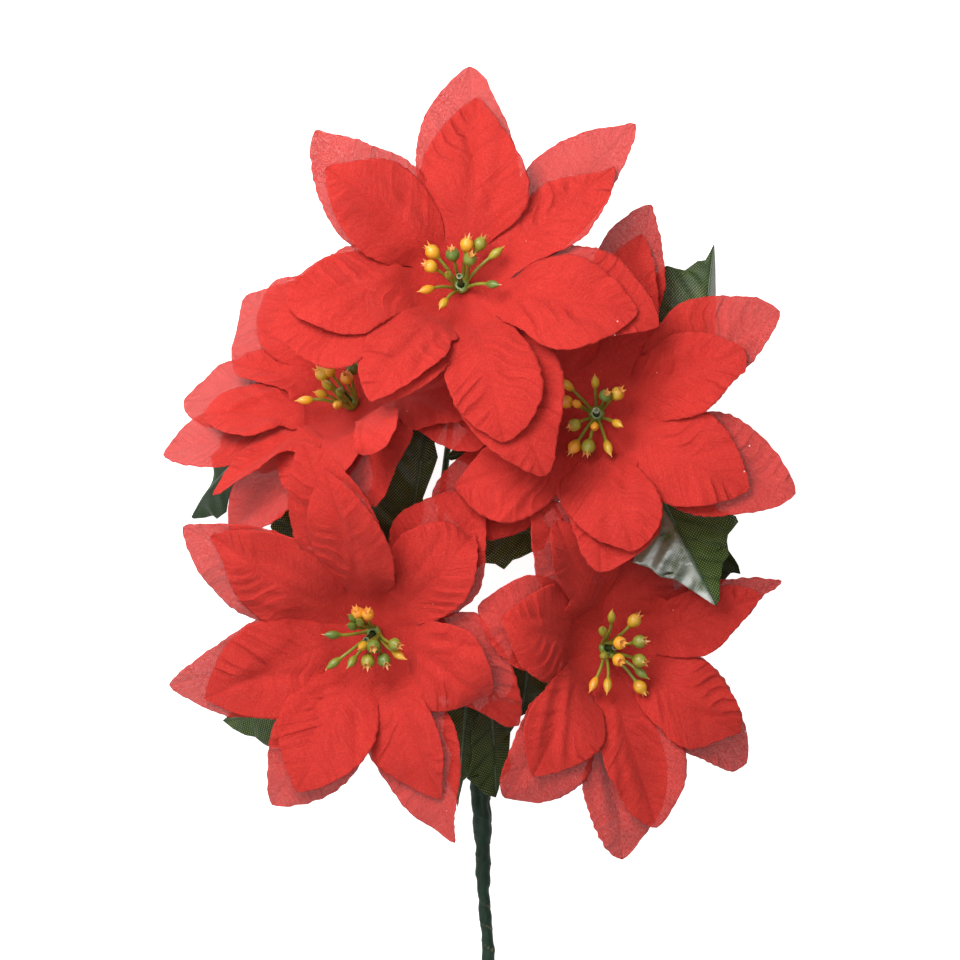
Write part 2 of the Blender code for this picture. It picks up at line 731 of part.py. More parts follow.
def leaf(row):
    """Petiole and spiny blade in one loft, from beside its bloom's stem to the tip."""
    stem_name, share, foot, tip, half_width, droops, bow = row
    _, curve = stem_path(stem_name, BLOOMS[stem_name])
    foot, tip = Vector(foot), Vector(tip)
    t = at_share(curve, share)
    beside = bezier(curve, t)
    out = square_to(foot - beside, bezier_tangent(curve, t))
    start = beside + out * (STEM_R + TOUCH)
    chord = tip - foot
    rise = Vector((0.0, 0.0, bow))
    rib = (foot, foot + chord * 0.33 + rise * 1.3, foot + chord * 0.67 + rise * 1.3, tip)
    reach = (foot - start).length * 0.4
    stalk = (start, start + out * reach, foot - bezier_tangent(rib, 0.0) * reach, foot)
    wide, thick = PETIOLE_HALF
    rows = []
    for t in (0.0, 0.25, 0.5, 0.75, 1.0):
        half = thick if t < 1.0 else FABRIC / 2
        rows.append((bezier(stalk, t), bezier_tangent(stalk, t), wide, half, (0.0, 0.0)))
    for share, factor in LEAF_OUTLINE:
        width = half_width * factor
        rows.append((bezier(rib, share), bezier_tangent(rib, share), width, FABRIC / 2, droops))
    rows.append((tip, bezier_tangent(rib, 1.0), 0.5, FABRIC / 2, (0.0, 0.0)))
    blade = bmesh.new()
    loops = []
    for spot, way, width, thickness, droop in rows:
        above = square_to(Vector((0.0, 0.0, 1.0)), way)
        side = above.cross(way)
        edges = []
        for sign, angle in ((1.0, droop[0]), (-1.0, droop[1])):
            angle = math.radians(angle)
            edges.append(side * (sign * width * math.cos(angle)) - above * (width * math.sin(angle)))
        skin = above * thickness
        points = (spot + edges[0] + skin, spot + skin, spot + edges[1] + skin)
        points += (spot + edges[1] - skin, spot - skin, spot + edges[0] - skin)
        loops.append([blade.verts.new(point) for point in points])
    for near, far in zip(loops, loops[1:]):
        for c, from_first in ((0, True), (1, False), (2, True), (3, True), (4, False), (5, True)):
            d = (c + 1) % 6
            add_quad(blade, (near[c], near[d], far[d], far[c]), from_first)
    for loop, flip in ((loops[0], True), (loops[-1], False)):
        a, b, c, d, e, f = reversed(loop) if flip else loop
        for corners in ((a, b, e), (a, e, f), (b, c, d), (b, d, e)):
            blade.faces.new(corners)
    return blade


def shade_smooth(made):
    made.data.shade_smooth()
    made.data.set_sharp_from_angle(angle=math.radians(50.0))


def main():
    clear_scene()
    materials = {kind: make_material(kind) for kind in COLOURS}
    for name, bloom in BLOOMS.items():
        seat = Seat(bloom)
        for layer in ("back", "front"):
            sheet = petal_layer(seat, layer, bloom[layer], bloom["turn"][layer])
            petals = make_object(f"{name}_{layer}_petals", sheet, seat.centre, materials[f"{layer}_petals"])
            thicken(petals)
        shade_smooth(stamen_spray(name, bloom, materials["stamens"]))
        shade_smooth(make_object(f"{name}_stem", bloom_stem(name, bloom), seat.centre, materials["stem"]))
    shade_smooth(main_stem(materials["main_stem"]))
    for name, row in LEAVES.items():
        make_object(name, leaf(row), row[2], materials["leaf"])


main()
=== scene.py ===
"""The looks of an artificial poinsettia bush that lies on its back: a taped stem, five double fabric
blooms with moulded stamens, and wired fabric leaves. Lengths in the tables are millimetres, measured
from the middle of the front view, and MIDDLE is that plan's point over the model's origin.
"""

import math

import bpy
import numpy as np
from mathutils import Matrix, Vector


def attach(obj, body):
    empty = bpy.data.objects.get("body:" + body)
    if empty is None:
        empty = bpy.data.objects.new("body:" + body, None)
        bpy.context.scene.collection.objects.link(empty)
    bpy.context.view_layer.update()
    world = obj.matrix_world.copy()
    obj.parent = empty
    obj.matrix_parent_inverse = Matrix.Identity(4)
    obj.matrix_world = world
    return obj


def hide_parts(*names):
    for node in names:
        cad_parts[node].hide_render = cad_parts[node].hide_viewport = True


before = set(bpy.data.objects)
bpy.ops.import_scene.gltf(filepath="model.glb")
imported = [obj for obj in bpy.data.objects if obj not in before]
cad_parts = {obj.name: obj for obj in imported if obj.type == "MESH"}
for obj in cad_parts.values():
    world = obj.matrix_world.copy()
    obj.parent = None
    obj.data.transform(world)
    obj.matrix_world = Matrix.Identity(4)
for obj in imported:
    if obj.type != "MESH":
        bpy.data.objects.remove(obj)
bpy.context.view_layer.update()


# The taped stem: the wires of all five blooms, gathered and wound in dark green crepe tape. The tape
# is stretched as it is wound, so its turns slant, overlap in low steps and sink between the wires
# under the head.
MM = 0.001
MIDDLE = np.array((-1.0, -36.0, 0.0))
# Down the stem: x, y, height of its middle, radius
STEM_ROWS = (
    (1.0, -96.0, 17.0, 4.3), (0.8, -106.0, 16.0, 4.7), (0.4, -114.0, 15.0, 4.2), (0.2, -120.0, 14.2, 3.9),
    (0.6, -126.0, 13.4, 3.6), (0.9, -131.0, 12.6, 3.9), (1.0, -136.5, 11.9, 3.4),
    (1.1, -141.0, 11.3, 2.7), (1.2, -146.0, 10.7, 3.1), (1.2, -152.0, 9.9, 2.7), (1.4, -159.0, 9.1, 2.4),
    (2.0, -168.0, 8.0, 2.3), (3.0, -179.0, 6.8, 2.35), (3.6, -196.0, 5.0, 2.4), (3.4, -213.0, 3.3, 2.3),
    (3.0, -227.0, 2.4, 2.3),
)
TAPE_PITCH = 8.5
TAPE_STEP = 0.28
TAPE_RINGS = 260
TAPE_SIDES = 40
# Hollows between the wires under the head: angle, turn for each millimetre down, and depth
WIRE_HOLLOWS = ((0.12, 0.006, 1.3), (2.4, 0.02, 0.9), (4.5, 0.016, 1.0))
HOLLOW_ANGLE = 0.3
HOLLOWS_END = (26, 44)
HEAD_NARROWING = 0.18
BARE_EDGE_STARTS = (62, 75)
SIDE_HINT = (0.3, 0.5, 0.8)
SHARP_ANGLE = 55.0
TAPE_GREENS = ((0.3, (0.006, 0.020, 0.011)), (0.7, (0.014, 0.038, 0.022)))
RUBBED_GREEN = (0.028, 0.060, 0.036, 1.0)
BARE_PAPER = (0.30, 0.22, 0.13, 1.0)


def unit(vector):
    return vector / np.linalg.norm(vector)


def square_to(direction, axis):
    """The part of a direction that is square to an axis, at unit length."""
    return unit(direction - axis * np.dot(direction, axis))


def smooth(low, high, value):
    """0 below low, 1 above high and an even curve between."""
    t = np.clip((value - low) / (high - low), 0.0, 1.0)
    return t * t * (3.0 - 2.0 * t)


def new_object(name, points, faces, marks):
    """A smooth mesh piece from plan millimetres, with named marks for its material to read."""
    mesh = bpy.data.meshes.new(name)
    places = (np.asarray(points, float).reshape(-1, 3) - MIDDLE) * MM
    mesh.from_pydata(places.tolist(), [], faces)
    for mark, values in marks.items():
        values = np.asarray(values, np.float32)
        if values.ndim == 2:
            layer = mesh.attributes.new(mark, "FLOAT_VECTOR", "POINT")
            layer.data.foreach_set("vector", values.reshape(-1))
        else:
            layer = mesh.attributes.new(mark, "FLOAT", "POINT")
            layer.data.foreach_set("value", values)
    mesh.update()
    made = bpy.data.objects.new(name, mesh)
    bpy.context.collection.objects.link(made)
    mesh.shade_smooth()
    mesh.set_sharp_from_angle(angle=math.radians(SHARP_ANGLE))
    return made


def ring_angles(sides):
    return np.arange(sides) * 2 * math.pi / sides


def ring_ways(across, other, angles):
    """Directions at these angles round each spot of a path."""
    return across[:, None] * np.cos(angles)[None, :, None] + other[:, None] * np.sin(angles)[None, :, None]


def path_ways(path):
    return np.array([unit(way) for way in np.gradient(path, axis=0)])


def steady_sides(ways, hint=SIDE_HINT):
    """Two directions square to each of a path's directions, which don't twist on the way."""
    sides = []
    side = np.array(hint)
    for way in ways:
        side = square_to(side, way)
        sides.append(side)
    sides = np.array(sides)
    return sides, np.cross(ways, sides)


def tube_faces(rings, sides):
    """Quads between rings of points, and a fan at both ends round two points listed after the rings."""
    faces = []
    count = rings * sides
    last = count - sides
    for low in range(0, last, sides):
        for k in range(sides):
            after = (k + 1) % sides
            faces.append((low + k, low + after, low + sides + after, low + sides + k))
    for k in range(sides):
        after = (k + 1) % sides
        faces.append((after, k, count))
        faces.append((last + k, last + after, count + 1))
    return faces


def capped_tube(path, radii, sides, ways, hint=SIDE_HINT):
    """Points and faces of a closed tube. Radii are one number a ring, or one a point."""
    across, other = steady_sides(ways, hint)
    radii = np.asarray(radii, float)
    if radii.ndim == 1:
        radii = np.repeat(radii[:, None], sides, axis=1)
    rings = path[:, None] + ring_ways(across, other, ring_angles(sides)) * radii[:, :, None]
    return np.vstack([rings.reshape(-1, 3), path[0], path[-1]]), tube_faces(len(path), sides)


def through(rows, count):
    """Points on an even curve through rows of numbers, and each point's distance along it."""
    rows = np.asarray(rows, float)
    padded = np.vstack([2 * rows[0] - rows[1], rows, 2 * rows[-1] - rows[-2]])
    found = []
    for t in np.linspace(0, len(rows) - 1, count):
        k = min(int(t), len(rows) - 2)
        f = t - k
        a, b, c, d = padded[k : k + 4]
        bend, twist = 2 * a - 5 * b + 4 * c - d, 3 * b - a - 3 * c + d
        found.append(0.5 * (2 * b + (c - a) * f + bend * f * f + twist * f**3))
    found = np.array(found)
    steps = np.linalg.norm(np.diff(found[:, :3], axis=0), axis=1)
    return found, np.concatenate([[0.0], np.cumsum(steps)])


def add_node(tree, kind, inputs=None, **settings):
    """A shader node with its settings, and inputs given as numbers, colours or other nodes' outputs."""
    made = tree.nodes.new(kind)
    for key, value in settings.items():
        setattr(made, key, value)
    for key, value in (inputs or {}).items():
        socket = made.inputs[key]
        if isinstance(value, bpy.types.NodeSocket):
            tree.links.new(value, socket)
        else:
            socket.default_value = value
    return made


def math_node(tree, operation, a, b=0.0, clamp=False):
    return add_node(tree, "ShaderNodeMath", {0: a, 1: b}, operation=operation, use_clamp=clamp).outputs[0]


def times(tree, a, b):
    return math_node(tree, "MULTIPLY", a, b)


def plus(tree, a, b):
    return math_node(tree, "ADD", a, b)


def minus(tree, a, b, clamp=False):
    return math_node(tree, "SUBTRACT", a, b, clamp)


def span(tree, value, low, high, start=0.0, end=1.0, **settings):
    """A value from low to high laid out from start to end, and held there beyond them."""
    inputs = {"Value": value, "From Min": low, "From Max": high, "To Min": start, "To Max": end}
    return add_node(tree, "ShaderNodeMapRange", inputs, **settings).outputs[0]


def noise(tree, place, scale, detail, roughness=0.5):
    inputs = {"Vector": place, "Scale": scale, "Detail": detail, "Roughness": roughness}
    return add_node(tree, "ShaderNodeTexNoise", inputs).outputs[0]


def laid(tree, place, scale=(1.0, 1.0, 1.0), turn=0.0):
    """A place stretched and turned, so that a texture laid on it follows."""
    inputs = {"Vector": place, "Scale": scale, "Rotation": (0.0, 0.0, turn)}
    return add_node(tree, "ShaderNodeMapping", inputs).outputs[0]


def mix_colour(tree, share, a, b):
    return add_node(tree, "ShaderNodeMix", {0: share, 6: a, 7: b}, data_type="RGBA").outputs[2]


def ramp(tree, value, stops):
    made = add_node(tree, "ShaderNodeValToRGB", {0: value})
    elements = made.color_ramp.elements
    while len(elements) < len(stops):
        elements.new(0.5)
    for element, (place, colour) in zip(elements, stops):
        element.position = place
        element.color = (*colour, 1.0)
    return made.outputs[0]


def mask(tree, value, low, high):
    return ramp(tree, value, ((low, (0, 0, 0)), (high, (1, 1, 1))))


def bump(tree, height, strength, distance):
    inputs = {"Strength": strength, "Distance": distance, "Height": height}
    return add_node(tree, "ShaderNodeBump", inputs).outputs[0]


def attribute(tree, name, output="Fac"):
    return add_node(tree, "ShaderNodeAttribute", attribute_name=name).outputs[output]


def object_place(tree):
    return add_node(tree, "ShaderNodeTexCoord").outputs["Object"]


def new_material(name, **sockets):
    """A material with its plain shader values set, and its tree and shader to build on."""
    material = bpy.data.materials.new(name)
    material.use_nodes = True
    tree = material.node_tree
    shader = tree.nodes["Principled BSDF"]
    for key, value in sockets.items():
        shader.inputs[key.replace("_", " ")].default_value = value
    return material, tree, shader


def plug(tree, shader, **outputs):
    """Lets nodes drive the shader's sockets."""
    for key, output in outputs.items():
        tree.links.new(output, shader.inputs[key.replace("_", " ")])


def tape_material():
    """Crepe paper: fine grain across the stem, rubbed pale on its ridges, bare at the tape's edge."""
    material, tree, shader = new_material("stem_tape", Specular_IOR_Level=0.2)
    place = object_place(tree)
    crepe = noise(tree, laid(tree, place, (1.0, 0.22, 1.0)), 1900.0, 4.0, 0.6)
    green = ramp(tree, noise(tree, place, 160.0, 3.0), TAPE_GREENS)
    green = mix_colour(tree, times(tree, mask(tree, crepe, 0.45, 0.75), 0.35), green, RUBBED_GREEN)
    green = mix_colour(tree, times(tree, attribute(tree, "paper"), 0.75), green, BARE_PAPER)
    rough = span(tree, crepe, 0.0, 1.0, 0.38, 0.66)
    plug(tree, shader, Base_Color=green, Roughness=rough, Normal=bump(tree, crepe, 0.5, 0.00012))
    return material


def taped_stem():
    rows, along = through(STEM_ROWS, TAPE_RINGS)
    angles = ring_angles(TAPE_SIDES)[None]
    down = along[:, None]
    turn = down / TAPE_PITCH + angles / (2 * math.pi)
    phase = turn - np.floor(turn)
    step = TAPE_STEP * (phase - 0.5) * smooth(0.0, 0.08, phase)
    lumps = 0.16 * np.sin(down * 0.41 + 2 * angles) + 0.12 * np.sin(down * 0.93 - angles + 1.0)
    radii = rows[:, 3:4] + step + lumps * smooth(0, 20, down)
    for start, twist, depth in WIRE_HOLLOWS:
        away = np.angle(np.exp(1j * (angles - start - twist * down)))
        radii = radii - depth * np.exp(-((away / HOLLOW_ANGLE) ** 2)) * (1 - smooth(*HOLLOWS_END, down))
    radii = radii * (1.0 - HEAD_NARROWING + HEAD_NARROWING * smooth(0.0, 4.0, down))
    path = rows[:, :3]
    points, faces = capped_tube(path, radii, TAPE_SIDES, path_ways(path), (0.0, 0.0, 1.0))
    edge = np.exp(-(((phase - 0.02) / 0.035) ** 2)) * smooth(*BARE_EDGE_STARTS, down)
    side = 0.5 + 0.5 * np.cos(angles - 4.6)
    paper = np.concatenate([(edge * side).reshape(-1), [0.0, 0.6]])
    made = new_object("main_stem_tape", points, faces, {"paper": paper})
    made.data.materials.append(tape_material())
    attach(made, "root")
    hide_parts("main_stem")


taped_stem()


# The bloom stems: each bloom stands on dark green plastic moulded over a wire, which ends in a calyx
# cup under the cloth. Its hollow peg goes up through the holes of the petals and of the stamens'
# collar.
FABRIC = 0.7
TOUCH = 0.3
STEM_R = 1.3
STEM_FOOT_R = 1.1
STEM_SPOTS = 56
STEM_SIDES = 18
CALYX_DEPTH = 10.0
PEG_TOP = 12.0
SEAM = -(FABRIC / 2 + TOUCH)
SOCKET_RING_R = 2.9
SOCKET_DEPTH = 9.0
SOCKET_AZIMUTHS = {"top": 90.0, "left": 162.0, "low_left": 234.0, "low_right": 306.0, "right": 18.0}
# Up the calyx and the peg: height over the hub, and radius
CALYX_PROFILE = (
    (-CALYX_DEPTH, STEM_R), (-8.4, 1.6), (-7.0, 2.2), (-5.4, 2.9), (-4.0, 3.5), (-2.6, 4.1),
    (-1.6, 4.45), (-0.9, 4.6), (SEAM, 4.5), (SEAM + 0.05, 1.0), (PEG_TOP * 0.5, 0.98),
    (PEG_TOP - 1.6, 1.0), (PEG_TOP - 0.5, 1.12), (PEG_TOP, 1.14), (PEG_TOP + 0.05, 0.8),
    (PEG_TOP - 0.9, 0.66),
)
# How worn the last rings but one of the peg are, up to its rim
PEG_WEAR = ((0.1,), (0.45,), (0.4,))
STEM_GREENS = ((0.3, (0.010, 0.034, 0.010)), (0.75, (0.035, 0.085, 0.022)))
PALE_RIM = (0.42, 0.40, 0.16, 1.0)
# Where each bloom's hub is, how far it leans, towards which azimuth, and how its stem bends
HUBS = {
    "top": ((-6.8, 71.2, 84.0), (24.0, 100.0), ((-34.0, -56.0, 27.0), 48.0)),
    "left": ((-46.9, 27.0, 68.0), (50.0, 128.0), ((-44.0, -62.0, 14.0), 40.0)),
    "right": ((43.9, 24.4, 70.0), (8.0, 100.0), ((58.0, -62.0, 20.0), 40.0)),
    "low_left": ((-39.0, -56.6, 66.0), (25.0, 222.0), ((-14.0, -68.0, 16.0), 22.0)),
    "low_right": ((46.5, -63.8, 58.0), (22.0, 10.0), ((22.0, -70.0, 17.0), 18.0)),
}


def polar(length, azimuth):
    angle = math.radians(azimuth)
    return np.array((length * math.cos(angle), length * math.sin(angle), 0.0))


def bezier(points, t):
    a, b, c, d = points
    t = np.asarray(t, float)[..., None]
    s = 1.0 - t
    return a * s**3 + b * (3 * s * s * t) + c * (3 * s * t * t) + d * t**3


def bezier_ways(points, t):
    a, b, c, d = points
    t = np.asarray(t, float)[..., None]
    s = 1.0 - t
    ways = (b - a) * (s * s) + (c - b) * (2 * s * t) + (d - c) * (t * t)
    return ways / np.linalg.norm(ways, axis=-1, keepdims=True)


def curve_spots(points, shares):
    """Places and directions at shares of a curve's length, and its length."""
    fine = np.linspace(0, 1, 241)
    steps = np.linalg.norm(np.diff(bezier(points, fine), axis=0), axis=1)
    reached = np.concatenate([[0.0], np.cumsum(steps)])
    t = np.interp(np.asarray(shares) * reached[-1], reached, fine)
    return bezier(points, t), bezier_ways(points, t), reached[-1]


class Seat:
    """A bloom's hub: its centre, the way it faces and two directions square to that."""

    def __init__(self, name):
        centre, (lean, towards), self.bends = HUBS[name]
        self.centre = np.array(centre)
        self.face = polar(math.sin(math.radians(lean)), towards)
        self.face[2] = math.cos(math.radians(lean))
        self.across = square_to(np.array((1.0, 0.0, 0.0)), self.face)
        self.up = np.cross(self.face, self.across)

    def way(self, azimuth):
        angle = math.radians(azimuth)
        return self.across * math.cos(angle) + self.up * math.sin(angle)

    def spot(self, radius, azimuth, height):
        return self.centre + self.way(azimuth) * radius + self.face * height


SEATS = {name: Seat(name) for name in HUBS}


def stem_curve(name):
    """Socket, and the stem's curve from the taped head to the foot of the calyx."""
    seat = SEATS[name]
    head = np.array(STEM_ROWS[0][:3])
    along = unit(head - np.array(STEM_ROWS[1][:3]))
    side = square_to(np.array((1.0, 0.0, 0.0)), along)
    up = np.cross(side, along)
    angle = math.radians(SOCKET_AZIMUTHS[name])
    mouth = head + (side * math.cos(angle) + up * math.sin(angle)) * SOCKET_RING_R
    foot = mouth - along * (SOCKET_DEPTH - TOUCH)
    bend, drop = seat.bends
    top = seat.centre - seat.face * CALYX_DEPTH
    start = mouth + along * 3.0
    return foot, (start, np.array(bend), top - seat.face * drop, top)


def stem_material():
    """Moulded plastic: mottled dark green, pale where the peg's rim is worn."""
    material, tree, shader = new_material("bloom_stem", Specular_IOR_Level=0.5, Coat_Weight=0.15)
    place = object_place(tree)
    mottle = noise(tree, place, 420.0, 5.0)
    green = mix_colour(tree, attribute(tree, "rim"), ramp(tree, mottle, STEM_GREENS), PALE_RIM)
    fine = noise(tree, place, 1500.0, 2.0)
    rough = span(tree, mottle, 0.0, 1.0, 0.3, 0.5)
    plug(tree, shader, Base_Color=green, Roughness=rough, Normal=bump(tree, fine, 0.25, 0.0001))
    return material


STEM_FINISH = stem_material()


def bloom_stem(name):
    seat = SEATS[name]
    foot, curve = stem_curve(name)
    t = np.linspace(0, 0.985, STEM_SPOTS)
    swell = STEM_R + 0.05 * np.sin(np.arange(STEM_SPOTS) * 0.9)
    swell[0] = STEM_FOOT_R
    heights, profile = zip(*CALYX_PROFILE)
    path = np.vstack([foot, bezier(curve, t), [seat.centre + seat.face * height for height in heights]])
    ways = np.vstack([path[1] - path[0], bezier_ways(curve, t), [seat.face] * len(heights)])
    ways = np.array([unit(way) for way in ways])
    radii = np.concatenate([[STEM_FOOT_R], swell, profile])
    points, faces = capped_tube(path, radii, STEM_SIDES, ways)
    rim = np.zeros((len(path), STEM_SIDES))
    rim[-1 - len(PEG_WEAR) : -1] = PEG_WEAR
    rim = np.concatenate([rim.reshape(-1), [0.0, 0.0]])
    made = new_object(f"{name}_wire_stem", points, faces, {"rim": rim})
    made.data.materials.append(STEM_FINISH)
    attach(made, "root")
    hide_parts(f"{name}_stem")


for bloom_name in HUBS:
    bloom_stem(bloom_name)


# The petal layers: two for each bloom, of thin woven polyester, cut by a die into seven lobes that
# share one hub. The cuts end 17 mm from the hole, and a hot press leaves a rib and slanting veins in
# every lobe.
LOBES = 7
HOLE_R = 1.6
HUB_R = 5.0
SLIT_R = 17.0
HUB_RINGS = (HOLE_R, 2.8, 4.0, HUB_R, 6.5, 8.0, 9.5, 11.0, 12.5, 14.0, 15.5, SLIT_R)
FRONT_LIFT = 1.4
FRONT_OPEN = 1.5
FLATTEST_START = 2.0
STEEPEST_START = 42.0
WIDEST_SECTOR = 27.0
PETAL_HALF_WIDTH = {"back": 20.0, "front": 19.0}
PETAL_BLUNTNESS = {"back": 0.72, "front": 0.86}
PETAL_FOLD = {"back": 2.5, "front": 3.5}
PETAL_HANDLE = 0.36
CLOTH = 0.25
LOBE_ROWS = 64
LOBE_COLUMNS = 34
VEIN_SPACINGS = (5.5, 7.5)
PRESSED_RIB = 0.9
RIB_GROOVE = 0.30
# Powers that draw a lobe's rows of points towards its tip, and its widest place outward
ROWS_TOWARDS_TIP = 0.92
WIDEST_OUTWARD = 1.27
# Jags that the die leaves in the edge: waves laid over each other, how fast they go, and depth
JAG_WAVES = 5
JAG_PACES = (0.5, 2.2)
JAG_DEPTH = 0.09
# Soft waves pressed into a lobe, and the ripple along its edge
SOFT_WAVES = 5
SOFT_WAVE_WIDTHS = (1.4, 3.2)
EDGE_RIPPLE = 0.28
RIPPLE_LENGTHS = (15, 22)
# How far a lobe's foot rises over the lobe before it and sinks under the one after
LOBE_LAP = 0.5
# Crumpling of the whole sheet: waves, their lengths, and depth as a share of the length
CRUMPLE_WAVES = 7
CRUMPLE_LENGTHS = (9.0, 30.0)
CRUMPLE_DEPTH = 0.010
# Thread pitch, and how far the threads wander from straight
PETAL_WEAVE = (0.5, 0.9)
LINT = (0.95, 0.6, 0.58, 1.0)
# Red of the cloth's darker mottling and of the painted shade in its folds and wrinkles, red of its lighter
# mottling, its slubs and the painted highlight on its threads, and how much of the light the cloth stops
PETAL_CLOTHS = {
    "back": ((0.39, 0.0155, 0.0112), (0.46, 0.0210, 0.0155), 0.985),
    "front": ((0.40, 0.0160, 0.0115), (0.48, 0.0220, 0.0162), 0.988),
}
# Where a lobe's half widths are measured, as shares of the way from the end of the cuts to its tip
WIDTH_SHARES = (0.10, 0.25, 0.40, 0.55, 0.70, 0.83, 0.93)
# The die's usual half widths there
BACK_EDGE = (14, 17.5, 19.5, 19.5, 17, 12, 6.5)
FRONT_EDGE = (14, 17, 19, 18.5, 15, 10, 5)
